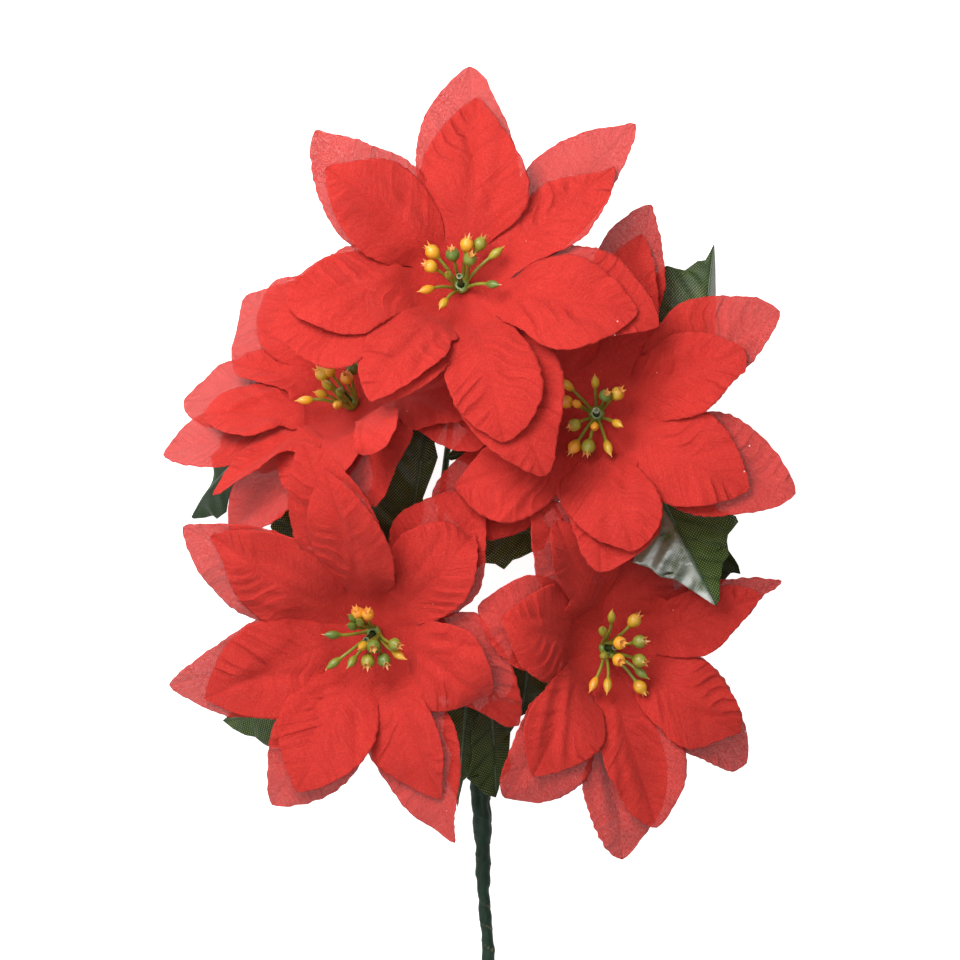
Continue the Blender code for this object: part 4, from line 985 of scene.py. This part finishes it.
# From the berry's middle along the stalk, and radius there
ROUND_BERRY = (
    (-3.9, 0.6), (-3.2, 0.8), (-2.6, 1.35), (-1.9, 1.95), (-1.0, 2.4), (0.0, 2.6), (0.9, 2.45),
    (1.7, 2.0), (2.2, 1.5), (2.5, 1.25),
)
LONG_BUD = (
    (-3.9, 0.55), (-3.1, 0.75), (-2.4, 1.15), (-1.5, 1.5), (-0.4, 1.68), (0.7, 1.55), (1.7, 1.15),
    (2.4, 0.75), (2.9, 0.4),
)
RIPENING = (
    (0.0, (0.075, 0.13, 0.018)),
    (0.22, (0.16, 0.19, 0.022)),
    (0.42, (0.32, 0.25, 0.016)),
    (0.68, (0.62, 0.30, 0.014)),
    (0.95, (0.64, 0.21, 0.014)),
)
CROWN_ORANGE = (0.66, 0.24, 0.05, 1.0)
# x and y from the hub, whether it is a crowned berry, and how ripe the spray makes it: 0 green to 1
# yellow and 1.4 orange
BERRIES = {
    "top": (
        (-10.9, 13.9, 1, 1.0), (-11.6, 8.3, 1, 1.0), (-3.4, 12.8, 1, 0.1), (1.9, 16.5, 1, 1.05),
        (6.8, 16.9, 1, 0.45), (3.0, 10.9, 1, 0.3), (-13.1, -0.4, 0, 1.15), (-6.8, -5.6, 0, 0.85),
        (12.8, 13.5, 0, 0.6), (-4.9, 4.9, 0, 0.45), (11.6, 1.5, 0, 0.15),
    ),
    "left": (
        (-18.8, 3.0, 0, 1.1), (-12.8, 5.3, 0, 0.9), (-10.5, 8.6, 0, 0.65), (-6.5, 1.0, 0, 0.95),
        (-5.5, 5.9, 0, 0.3), (-12.4, 12.8, 1, 0.85), (-9.8, 14.3, 1, 1.1), (-3.0, 11.3, 1, 1.25),
        (-0.8, 15.0, 1, 0.2),
    ),
    "right": (
        (-11.3, 11.3, 0, 1.1), (-0.8, 12.4, 0, 0.8), (-7.9, 4.1, 0, 1.15), (-1.1, -4.5, 0, 1.1),
        (7.5, -3.4, 0, 0.85), (4.1, -12.4, 0, 0.85), (3.0, 7.1, 1, 0.05), (7.5, 7.9, 1, 0.85),
        (-8.6, -3.8, 1, 0.55), (-8.6, -12.0, 1, 1.25), (-3.4, -12.0, 1, 0.5), (-11.6, 4.9, 1, 1.2),
    ),
    "low_left": (
        (-8.6, 4.9, 0, 0.2), (-9.0, 1.9, 0, 0.1), (-16.5, -1.5, 0, 0.1), (-16.1, -12.4, 0, 0.35),
        (-9.0, -11.6, 0, 0.4), (8.6, -9.0, 0, 0.95), (-4.9, -5.6, 0, 0.9), (-6.0, 3.4, 0, 0.3),
        (-3.0, -11.3, 1, 0.5), (3.0, -10.9, 1, 0.15), (7.1, -4.9, 1, 0.4), (-0.8, -5.6, 1, 0.2),
        (-6.8, 6.8, 1, 1.3), (-3.0, 6.4, 1, 1.25),
    ),
    "low_right": (
        (3.0, 12.4, 0, 0.65), (-0.4, 7.1, 0, 0.5), (0.0, -2.3, 0, 0.45), (-3.8, -13.1, 0, 1.25),
        (1.5, -13.5, 0, 0.85), (14.3, -9.0, 0, 0.3), (11.6, 10.9, 1, 0.9), (6.0, 2.6, 1, 1.15),
        (13.5, 3.0, 1, 0.4), (5.6, -3.8, 1, 1.05), (13.5, -4.1, 1, 0.5), (13.9, -14.3, 1, 1.0),
    ),
}


def stamen_material():
    """Moulded plastic under a sprayed coat that runs from leaf green over yellow to orange."""
    material, tree, shader = new_material(
        "stamens", Specular_IOR_Level=0.5, Coat_Weight=0.1, Subsurface_Weight=0.15, Subsurface_Scale=0.002
    )
    mottle = noise(tree, object_place(tree), 500.0, 3.0)
    ripe = plus(tree, attribute(tree, "ripe"), times(tree, mottle, 0.3))
    ripe = times(tree, minus(tree, ripe, 0.15), 0.66)
    paint = mix_colour(tree, attribute(tree, "tip"), ramp(tree, ripe, RIPENING), CROWN_ORANGE)
    rough = span(tree, mottle, 0.0, 1.0, 0.35, 0.55)
    plug(tree, shader, Base_Color=paint, Roughness=rough, Normal=bump(tree, mottle, 0.2, 0.0002))
    return material


STAMEN_FINISH = stamen_material()


def crown(end, out, way, size, chance):
    """Rings of a berry's crown: pointed teeth round a small hollow."""
    tooth = np.where(np.arange(len(out)) % 3 == 0, 1.0, 0.0)
    length = tooth * chance.uniform(1.2, 1.9, len(out))
    spread = 1.15 + tooth * 0.55
    return [
        end + out * (spread * size)[:, None] + np.outer(length + 0.12, way),
        end + out * 0.85 * size + np.outer(tooth * 0.25, way),
        end + out * 0.5 * size - way * 0.5,
    ]


def bud_point(end, out, way, across, other, chance):
    """Rings of a bud's thin point, which leans a little."""
    lean = across * chance.uniform(-0.35, 0.35) + other * chance.uniform(-0.35, 0.35)
    return [end + way * 0.55 + lean * 0.4 + out * 0.24, end + way * 1.25 + lean + out * 0.1]


def berry(seat, row, chance):
    """Points, faces, ripeness and tip marks of one stalk with its berry or bud."""
    x, y, crowned, ripeness = row
    height = math.sqrt(max(BERRY_REACH**2 - x * x - y * y, LOWEST_BERRY**2))
    middle = seat.centre + np.array((x, y, height))
    flat = square_to(middle - seat.centre, seat.face)
    root = seat.centre + flat * STALK_ROOT_R + seat.face * (COLLAR_LOW + COLLAR_HEIGHT * 0.5)
    way = unit(middle - root - seat.face * 5.0)
    size = chance.uniform(0.94, 1.06)
    profile = ROUND_BERRY if crowned else LONG_BUD
    neck = middle + way * profile[0][0] * size
    reach = np.linalg.norm(neck - root)
    stalk = (root, root + unit(flat * 0.6 + seat.face) * reach * 0.3, neck - way * reach * 0.3, neck)
    spots = list(bezier(stalk, np.linspace(0, 0.94, STALK_SPOTS)))
    radii = [STALK_R * 1.5, STALK_R * 1.15] + [STALK_R] * (STALK_SPOTS - 2)
    ripes, tips = [STALK_RIPENESS] * STALK_SPOTS, [0.0] * STALK_SPOTS
    for along, radius in profile:
        spots.append(middle + way * along * size)
        radii.append(radius * size)
        ripes.append(0.45 + (ripeness - 0.45) * float(smooth(-3.6, -1.6, along)))
        tips.append(0.25 * float(smooth(1.2, 2.6, along)) if ripeness > 0.6 else 0.0)
    spots, radii = np.array(spots), np.array(radii)
    across, other = steady_sides(path_ways(spots))
    sides = CROWNED_SIDES if crowned else BUD_SIDES
    angles = ring_angles(sides) + chance.uniform(0, 6.3)
    out = ring_ways(across, other, angles)
    ribs = 1 + (0.035 * np.cos(angles * 5) if crowned else 0.02 * np.cos(angles * 3))
    rings = list(spots[:, None] + out * (radii[:, None] * ribs[None])[:, :, None])
    if crowned:
        rings += crown(spots[-1], out[-1], way, size, chance)
        tips += [0.9, 0.6, 0.5]
    else:
        rings += bud_point(spots[-1], out[-1], way, across[-1], other[-1], chance)
        tips += [0.5, 0.8]
    ripes += [ripeness] * (len(rings) - len(ripes))
    points = np.vstack([np.array(rings).reshape(-1, 3), spots[0], np.mean(rings[-1], axis=0)])
    ripe = np.concatenate([np.repeat(ripes, sides), [0.25, ripes[-1]]])
    tip = np.concatenate([np.repeat(tips, sides), [0.0, tips[-1]]])
    return points, tube_faces(len(rings), sides), ripe, tip


def collar(seat):
    """Points and faces of the ring that sits on the peg."""
    points, faces = [], []
    n = len(COLLAR_PROFILE)
    for k in range(COLLAR_SIDES):
        for radius, height in COLLAR_PROFILE:
            points.append(seat.spot(radius, 360.0 * k / COLLAR_SIDES, COLLAR_LOW + height))
        after = (k + 1) % COLLAR_SIDES
        for j in range(n):
            i = (j + 1) % n
            faces.append((k * n + j, after * n + j, after * n + i, k * n + i))
    return np.array(points), faces


def stamen_spray(name):
    seat = SEATS[name]
    chance = np.random.default_rng(len(name) * 31 + ord(name[-1]))
    points, faces = collar(seat)
    ripes, tips = [np.full(len(points), COLLAR_RIPENESS)], [np.zeros(len(points))]
    for row in BERRIES[name]:
        spots, more, ripe, tip = berry(seat, row, chance)
        faces += [tuple(len(points) + i for i in face) for face in more]
        points = np.vstack([points, spots])
        ripes.append(ripe)
        tips.append(tip)
    marks = {"ripe": np.concatenate(ripes), "tip": np.concatenate(tips)}
    made = new_object(f"{name}_stamen_spray", points, faces, marks)
    made.data.materials.append(STAMEN_FINISH)
    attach(made, "root")
    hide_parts(f"{name}_stamens")


for bloom_name in HUBS:
    stamen_spray(bloom_name)


# The leaves: holly-like blades cut from stiff coated cloth and glued over a wire, which runs on as the
# stalk. The press gives them a rib and side veins, and the coating leaves the weave's pale threads
# showing.
LEAF_CLOTH = 0.3
PETIOLE_R = 0.75
WIRE_TIP_R = 0.3
WIRE_SIDES = 12
STALK_BENDS = 22
LEAF_ROWS = 58
LEAF_COLUMNS = 22
VEIN_SPACING = 8.5
VEIN_SLANT = 0.8
VEIN_GROOVE = 0.2
LEAF_RIB_GROOVE = 0.3
QUILTING = 0.4
RIB_WIRE_SPOTS = 24
WIRE_UNDER_RIB = 0.35
FAINT_GLOSS = 0.04
# Thread pitch, how far the threads wander, and how the weave is turned to the rib
LEAF_WEAVE = (0.8, 0.5)
LEAF_WEAVE_TURN = 0.6
# Grey-green at 0, green at 0.5, olive at 1
LEAF_GREENS = ((0.0, (0.012, 0.033, 0.013)), (0.5, (0.016, 0.034, 0.004)), (1.0, (0.011, 0.020, 0.002)))
BARE_THREADS = (0.24, 0.31, 0.09, 1.0)
# Painted shade: the dark green laid along the pressed veins and the rib
CREASE_SHADE_GREEN = (0.006, 0.010, 0.004, 1.0)
# Share of the length and of the half width, for the leaves that only hold the bush up at the back
PLAIN_OUTLINE = (
    (0.07, 0.24), (0.20, 0.56), (0.31, 0.86), (0.38, 0.62), (0.53, 1.0), (0.61, 0.60), (0.80, 0.30),
)
# Bloom stem and share of it where the leaf stands; the rib's x, y, z from foot to tip; x, y of the
# spines and hollows down each side, or one half width; how steeply each half droops; and its finish:
# grey-green (0) or olive (1) at the foot and at the tip, how much of the weave shows, and its gloss
LEAVES = {
    "right_low_leaf": (
        ("right", 0.86), ((64.5, 0.8, 62.0), (76.5, -23.0, 73.8), (88.7, -47.4, 74.0)),
        (
            (60.3, -8.7), (55.7, -15.8), (61.4, -23.0), (57.2, -30.9), (63.6, -33.0), (67.8, -36.5),
            (73.1, -37.3), (79.5, -41.4), (86.2, -45.9),
        ),
        (
            (76.1, -1.5), (84.4, -3.8), (87.4, -10.5), (96.4, -13.6), (97.5, -15.8), (93.4, -20.7),
            (93.0, -23.0), (93.8, -28.1), (91.5, -31.1), (90.4, -37.7), (90.0, -45.2),
        ),
        (0.0, 20.0), (0.8, 0.55, 0.8, 1.0),
    ),
    "right_under_leaf": (
        ("right", 0.76), ((73.5, 3.8, 46.0), (82.0, -18.0, 50.0), (89.0, -42.6, 44.0)),
        ((73.1, -5.7), (69.3, -15.2), (73.8, -24.7), (71.5, -31.2), (79.1, -35.0)),
        (
            (88.3, -6.8), (92.1, -15.2), (92.1, -22.1), (94.7, -27.0), (97.0, -30.1), (98.5, -32.7),
            (99.3, -35.8), (97.4, -35.2), (95.5, -35.4), (93.4, -37.9),
        ),
        (8.0, 14.0), (1.0, 1.0, 0.05),
    ),
    "right_high_leaf": (
        ("right", 0.80), ((80.5, 28.0, 52.0), (84.8, 58.0, 60.0), (88.6, 89.3, 58.0)),
        (
            (77.3, 40.9), (71.2, 38.6), (69.0, 49.3), (63.7, 56.8), (65.2, 66.3), (62.9, 74.3),
            (70.5, 81.1), (77.3, 79.2), (82.2, 82.8), (85.2, 83.0),
        ),
        ((85.6, 40.9), (89.4, 49.3), (89.6, 68.2), (89.2, 82.6)),
        (3.0, 74.0), (0.5, 0.2, 0.7),
    ),
    "right_back_leaf": (
        ("right", 0.66), ((62.0, 32.0, 26.0), (76.0, 47.0, 18.0), (90.0, 62.0, 0.35)),
        17.0, 17.0, (5.0, 5.0), (0.6, 0.4, 0.4),
    ),
    "middle_leaf": (
        ("left", 0.40), ((-29.0, -36.0, 46.0), (-24.0, -4.0, 57.9), (-19.0, 28.5, 62.0)),
        (
            (-34.1, -32.6), (-39.4, -25.8), (-37.9, -18.2), (-43.2, -7.6), (-40.2, 0.8), (-42.5, 10.6),
            (-34.1, 16.7), (-29.6, 25.0),
        ),
        (
            (-21.2, -31.1), (-25.0, -22.7), (-20.8, -12.1), (-21.6, -6.8), (-18.2, 1.9), (-15.9, 8.7),
            (-17.2, 14.0), (-12.9, 21.2), (-16.7, 25.8),
        ),
        (9.0, 9.0), (0.9, 1.0, 0.6),
    ),
    "middle_right_leaf": (
        ("right", 0.58), ((9.4, 15.0, 42.0), (-1.7, 11.8, 48.9), (-12.8, 8.6, 50.0)),
        ((5.3, 19.8), (-0.8, 16.7), (-4.6, 18.6), (-9.1, 13.3)),
        ((7.6, 6.8), (1.5, 8.4), (-3.8, 5.3), (-8.4, 8.0), (-11.0, 7.4)),
        (6.0, 6.0), (0.7, 0.7, 0.6),
    ),
    "middle_low_leaf": (
        ("right", 0.50), ((27.0, -18.8, 44.0), (8.2, -20.6, 51.9), (-10.5, -22.5, 52.0)),
        (
            (24.3, -26.2), (19.8, -27.4), (15.2, -29.6), (12.4, -30.4), (9.1, -34.0), (5.7, -31.9),
            (1.5, -31.5), (-3.8, -35.0), (-6.8, -28.5),
        ),
        ((19.0, -9.5), (12.2, -12.5), (7.6, -8.7), (0.0, -13.7), (-5.3, -12.2)),
        (6.0, 6.0), (0.7, 0.6, 1.0),
    ),
    "left_leaf": (
        ("left", 0.70),
        ((-70.0, 14.0, 38.0), (-90.0, 9.0, 30.0), (-104.0, -3.0, 15.0), (-112.0, -14.4, 0.35)),
        (
            (-73.9, 5.4), (-82.4, 2.3), (-87.8, 4.6), (-93.9, 0.8), (-97.0, -7.7), (-97.8, -12.3),
            (-101.6, -15.0), (-103.2, -13.7), (-106.7, -14.6), (-110.9, -15.0),
        ),
        (
            (-81.6, 21.6), (-90.9, 18.5), (-98.6, 19.3), (-100.1, 12.3), (-103.6, 9.2), (-101.5, 3.9),
            (-104.0, -5.0), (-107.8, -10.4),
        ),
        (5.0, 9.0), (0.0, 0.1, 0.12),
    ),
    "left_low_leaf": (
        ("left", 0.48), ((-50.0, -5.0, 32.0), (-68.0, -15.6, 37.9), (-86.3, -26.3, 34.0)),
        ((-51.2, -16.1), (-60.4, -18.3), (-61.9, -26.0), (-69.6, -24.8), (-74.2, -30.6), (-78.7, -27.5)),
        (
            (-57.3, 0.0), (-65.8, -3.1), (-69.6, 0.8), (-73.8, -11.1), (-79.5, -16.1), (-80.1, -17.8),
            (-78.0, -21.0),
        ),
        (6.0, 6.0), (0.8, 0.8, 0.7),
    ),
    "low_left_leaf": (
        ("low_left", 0.40), ((-60.0, -84.0, 26.0), (-79.8, -88.5, 22.9), (-99.5, -93.0, 8.0)),
        (
            (-67.0, -96.2), (-73.9, -97.8), (-77.0, -103.1), (-82.0, -102.4), (-83.5, -101.6),
            (-86.6, -99.1), (-90.4, -98.5), (-95.3, -96.2),
        ),
        ((-67.7, -77.7), (-75.4, -81.6), (-80.1, -78.5), (-86.2, -85.8), (-92.4, -87.0)),
        (8.0, 2.0), (0.5, 0.2, 0.8),
    ),
    "stem_left_leaf": (
        ("top", 0.14), ((-5.0, -85.0, 36.0), (-6.8, -105.3, 33.9), (-8.6, -125.6, 26.0)),
        ((0.0, -88.8), (1.9, -98.7), (-0.4, -105.2), (-1.1, -110.2), (-6.5, -115.2), (-8.0, -121.7)),
        ((-13.2, -85.6), (-14.2, -97.6), (-10.7, -105.2), (-12.6, -114.8), (-9.6, -120.5)),
        (10.0, 10.0), (0.8, 0.7, 0.6),
    ),
    "stem_right_leaf": (
        ("low_right", 0.16), ((4.0, -84.0, 40.0), (5.4, -100.0, 39.0), (6.1, -121.6, 31.0)),
        (
            (17.0, -85.5), (15.0, -91.0), (11.6, -96.3), (11.1, -103.9), (11.8, -110.0), (8.0, -114.2),
            (7.1, -118.4),
        ),
        ((-0.8, -88.6), (-3.4, -97.4), (-3.1, -106.2), (-5.0, -114.2), (-1.9, -116.5), (1.9, -120.3)),
        (4.0, 8.0), (0.0, 0.9, 0.5),
    ),
    "low_right_leaf": (
        ("right", 0.22), ((20.0, -60.0, 36.0), (17.9, -75.3, 34.9), (15.8, -90.5, 28.0)),
        ((27.5, -64.3), (31.4, -72.7), (26.0, -77.3), (26.4, -81.9), (21.4, -84.2), (19.5, -88.4)),
        ((13.0, -63.1), (11.5, -69.6), (13.0, -76.5), (11.1, -81.9), (13.8, -86.5)),
        (7.0, 7.0), (0.9, 0.8, 0.5),
    ),
    "back_leaf": (
        ("top", 0.72), ((-20.0, 62.0, 0.35), (-32.0, 87.0, 0.35), (-44.0, 112.0, 0.35)),
        17.0, 17.0, (0.0, 0.0), (0.4, 0.4, 0.5),
    ),
}


def leaf_material():
    """Coated cloth: dull green or olive, with pale lines where the coating leaves the threads bare, and
    painted shade along its pressed veins and rib.
    """
    material, tree, shader = new_material("leaf", Specular_IOR_Level=0.16, Coat_Roughness=0.44, Coat_IOR=2.9)
    flat = attribute(tree, "flat", "Vector")
    cloth = cloth_nodes(tree, laid(tree, flat, turn=LEAF_WEAVE_TURN), *LEAF_WEAVE)
    mottle = noise(tree, flat, 0.16, 4.0)
    tone = plus(tree, attribute(tree, "tone"), times(tree, mottle, 0.7))
    green = ramp(tree, minus(tree, tone, 0.35, clamp=True), LEAF_GREENS)
    bare = times(tree, span(tree, cloth["Knots"], 0.45, 0.9), span(tree, mottle, 0.3, 0.7, 0.5))
    bare = math_node(tree, "MULTIPLY", bare, attribute(tree, "hatch"), clamp=True)
    green = mix_colour(tree, bare, green, BARE_THREADS)
    # Painted shade darkens the pressed veins and the rib
    green = mix_colour(tree, times(tree, attribute(tree, "crease"), 0.55), green, CREASE_SHADE_GREEN)
    worn = noise(tree, flat, 0.09, 5.0)
    film = times(tree, span(tree, worn, 0.36, 0.54), attribute(tree, "gloss"))
    rough = span(tree, cloth["Threads"], 0.0, 1.0, 0.48, 0.30)
    normal = bump(tree, cloth["Threads"], 0.45, 0.00025)
    plug(tree, shader, Base_Color=green, Roughness=rough, Coat_Weight=film, Normal=normal)
    return material


LEAF_FINISH = leaf_material()


def leaf_edge(foot, side, tip):
    """The x, y down one side from foot to tip, and each corner's share of the way."""
    corners = np.vstack([foot[:2], np.array(side), tip[:2]])
    steps = np.linalg.norm(np.diff(corners, axis=0), axis=1)
    reached = np.concatenate([[0.0], np.cumsum(steps)])
    return corners, reached / reached[-1]


def plain_side(rib, half_width, sign):
    """A side of the plain outline laid along a straight rib."""
    foot, tip = np.array(rib[0][:2]), np.array(rib[-1][:2])
    along = tip - foot
    across = np.array((-along[1], along[0])) / np.linalg.norm(along)
    return [foot + along * share + across * (sign * half_width * width) for share, width in PLAIN_OUTLINE]


def blade_faces(rows):
    """Faces over a blade's rows of points, closed round its tip and foot, which are listed last."""
    cols = LEAF_COLUMNS
    faces = []
    for r in range(rows - 1):
        for c in range(cols):
            a = r * (cols + 1) + c
            faces.append((a, a + cols + 1, a + cols + 2, a + 1))
    count = rows * (cols + 1)
    for c in range(cols):
        a = (rows - 1) * (cols + 1) + c
        faces.append((a + 1, a, count))
        faces.append((c, c + 1, count + 1))
    return faces


def leaf_blade(name, rib_rows, outline, droops, finish):
    """The blade, the spots and first direction of its rib, and its flat width, length and area."""
    chance = np.random.default_rng(sum(ord(c) * (i + 1) for i, c in enumerate(name)))
    foot, tip = np.array(rib_rows[0]), np.array(rib_rows[-1])
    edges = [leaf_edge(foot, side, tip) for side in outline]
    spread = np.linspace(0, 1, LEAF_ROWS + 1)[1:-1]
    shares = np.unique(np.round(np.concatenate([spread, edges[0][1][1:-1], edges[1][1][1:-1]]), 4))
    rib, reached = through(rib_rows, 200)
    length = reached[-1]
    spots = np.stack([np.interp(shares * length, reached, rib[:, axis]) for axis in range(3)], axis=1)
    middle = spots[:, None, :2]
    rims = [[np.interp(shares, at, corners[:, axis]) for axis in (0, 1)] for corners, at in edges]
    rims = [np.stack(rim, axis=1)[:, None] for rim in rims]
    v = np.linspace(-1, 1, LEAF_COLUMNS + 1)
    plan = middle + (np.where(v[None, :, None] < 0, *rims) - middle) * np.abs(v)[None, :, None]
    x = np.linalg.norm(plan - middle, axis=2) * np.sign(v)[None]
    down = (shares * length)[:, None]
    steep = np.where(v < 0, *(math.tan(math.radians(droop)) for droop in droops))[None]
    turn = (down - VEIN_SLANT * np.abs(x)) / VEIN_SPACING + 0.3
    phase = turn - np.floor(turn)
    line = np.exp(-(((phase - 0.5) / 0.07) ** 2)) * smooth(0.6, 2.5, np.abs(x))
    rib_line = np.exp(-((x / 0.8) ** 2))
    lift = -np.abs(x) * steep - VEIN_GROOVE * line - LEAF_RIB_GROOVE * rib_line
    lift = lift + QUILTING * np.sin(2 * math.pi * phase) * smooth(1, 6, np.abs(x))
    points = np.concatenate([plan, (spots[:, None, 2] + lift)[:, :, None]], axis=2)
    points[:, :, 2] += crumple(points, chance) * smooth(0, 8, down)
    if foot[2] == tip[2]:
        points[:, :, 2] = foot[2]
    points[:, :, 2] = np.maximum(points[:, :, 2], LEAF_CLOTH)
    points = np.vstack([points.reshape(-1, 3), tip, foot])
    flat = np.stack([x, down + 0 * x, 0 * x], axis=2).reshape(-1, 3)
    flat = np.vstack([flat, (0.0, length, 0.0), (0.0, 0.0, 0.0)])
    foot_tone, tip_tone, hatch, *gloss = finish
    marks = {
        "flat": flat,
        "crease": np.concatenate([np.clip(line + rib_line, 0, 1).reshape(-1), [0.0, 1.0]]),
        "tone": foot_tone + (tip_tone - foot_tone) * flat[:, 1] / length,
        "hatch": np.full(len(points), hatch),
        "gloss": (gloss[0] if gloss else FAINT_GLOSS) * (flat[:, 0] < 0),
    }
    blade = new_object(f"{name}_blade", points, blade_faces(len(shares)), marks)
    area = sum(face.area for face in blade.data.polygons)
    return blade, spots, unit(rib[1] - rib[0]), (max(np.ptp(flat[:, 0]), 1.0), length, area)


def leaf_wire(name, stem_name, share, foot, first_way, spots, lies_flat):
    """The wire: a stalk from the bloom stem to the blade's foot, and on under its rib, ever thinner."""
    beside, beside_way, _ = curve_spots(stem_curve(stem_name)[1], (share,))
    out = square_to(foot - beside[0], beside_way[0])
    start = beside[0] + out * (STEM_R + TOUCH)
    reach = np.linalg.norm(foot - start) * 0.4
    curve = (start, start + out * reach, foot - first_way * reach, foot)
    stalk = bezier(curve, np.linspace(0, 1, STALK_BENDS))
    under = np.array((0.0, 0.0, 0.0 if lies_flat else WIRE_UNDER_RIB))
    rib_spots = spots[:: max(1, len(spots) // RIB_WIRE_SPOTS)] - under
    rib_radii = np.linspace(PETIOLE_R, WIRE_TIP_R, len(rib_spots)) * (0.45 if lies_flat else 1.0)
    path = np.vstack([stalk[:-1], rib_spots])
    radii = np.concatenate([np.full(STALK_BENDS - 1, PETIOLE_R), rib_radii])
    path[:, 2] = np.maximum(path[:, 2], radii)
    points, faces = capped_tube(path, radii, WIRE_SIDES, path_ways(path))
    return new_object(f"{name}_wire", points, faces, {"rim": np.zeros(len(points))})


def leaf(name, row):
    (stem_name, share), rib_rows, *outline, droops, finish = row
    foot = np.array(rib_rows[0])
    lies_flat = foot[2] == rib_rows[-1][2]
    if not isinstance(outline[0], tuple):
        outline = [plain_side(rib_rows, half, sign) for half, sign in zip(outline, (1, -1))]
    blade, spots, first_way, (width, length, area) = leaf_blade(name, rib_rows, outline, droops, finish)
    thicken(blade, LEAF_CLOTH)
    blade.data.materials.append(LEAF_FINISH)
    wire = leaf_wire(name, stem_name, share, foot, first_way, spots, lies_flat)
    wire.data.materials.append(STEM_FINISH)
    for piece in (blade, wire):
        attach(piece, "root")
        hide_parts(name)


for leaf_name, leaf_row in LEAVES.items():
    leaf(leaf_name, leaf_row)


# The table, light and camera: a plain pale table top under the bush, soft light from overhead and a
# little from the upper left, and a long lens that looks straight down at the blooms.
TABLE_HALF = 4
TABLE_WHITES = ((0.3, (0.87, 0.87, 0.87)), (0.7, (0.90, 0.90, 0.90)))
GLOW_SEEN = (0.85, 0.85, 0.85, 1.0)
GLOW_ON_BUSH = (0.34, 0.34, 0.34, 1.0)
WHITE = (1.0, 1.0, 1.0, 1.0)
LIGHT_AIM = Vector((0.0, 0.0, 0.08))
# Where each light hangs in metres, how wide it is, and its power
LIGHTS = {
    "key_light": ((-0.29, 0.42, 0.66), 0.5, 8.0),
    "top_light": ((0.0, 0.1, 1.6), 1.0, 7.6),
    "fill_light": ((-0.9, -0.7, 1.0), 1.0, 5.6),
}
ROOM_LIGHT = 0.33
CAMERA_HEIGHT = 2.40
CAMERA_LENS = 232.0


def table_paint():
    """Matt white paint that glows softly, less so in the light that it throws on the bush."""
    paint = {"Specular_IOR_Level": 0.2, "Roughness": 0.9, "Emission_Strength": 1.0}
    material, tree, shader = new_material("table_paint", **paint)
    white = ramp(tree, noise(tree, object_place(tree), 9.0, 5.0), TABLE_WHITES)
    path = add_node(tree, "ShaderNodeLightPath").outputs
    open_view = math_node(tree, "LESS_THAN", path["Transparent Depth"], 0.5)
    open_view = times(tree, open_view, path["Is Camera Ray"])
    glow = mix_colour(tree, open_view, GLOW_ON_BUSH, GLOW_SEEN)
    plug(tree, shader, Base_Color=white, Emission_Color=glow)
    return material


def table_top():
    mesh = bpy.data.meshes.new("table_top")
    corners = [(x * TABLE_HALF, y * TABLE_HALF, 0) for x, y in ((-1, -1), (1, -1), (1, 1), (-1, 1))]
    mesh.from_pydata(corners, [], [(0, 1, 2, 3)])
    made = bpy.data.objects.new("table_top", mesh)
    bpy.context.collection.objects.link(made)
    mesh.materials.append(table_paint())


table_top()


def area_light(name, place, size, power):
    light = bpy.data.lights.new(name, "AREA")
    light.shape = "DISK"
    light.size = size
    light.energy = power
    made = bpy.data.objects.new(name, light)
    bpy.context.collection.objects.link(made)
    made.location = place
    made.rotation_euler = (made.location - LIGHT_AIM).to_track_quat("Z", "Y").to_euler()
    made.visible_camera = False


for light_name, light_row in LIGHTS.items():
    area_light(light_name, *light_row)

world = bpy.data.worlds.new("studio")
world.use_nodes = True
room = world.node_tree.nodes["Background"].inputs
room["Color"].default_value = WHITE
room["Strength"].default_value = ROOM_LIGHT
bpy.context.scene.world = world
bpy.context.scene.view_settings.view_transform = "Standard"

lens = bpy.data.cameras.new("camera")
lens.sensor_width = 36.0
lens.lens = CAMERA_LENS
camera = bpy.data.objects.new("camera", lens)
bpy.context.collection.objects.link(camera)
camera.location = (-MIDDLE[0] * MM, -MIDDLE[1] * MM, CAMERA_HEIGHT)
camera.rotation_euler = (0.0, 0.0, 0.0)
bpy.context.scene.camera = camera

bpy.context.view_layer.update()
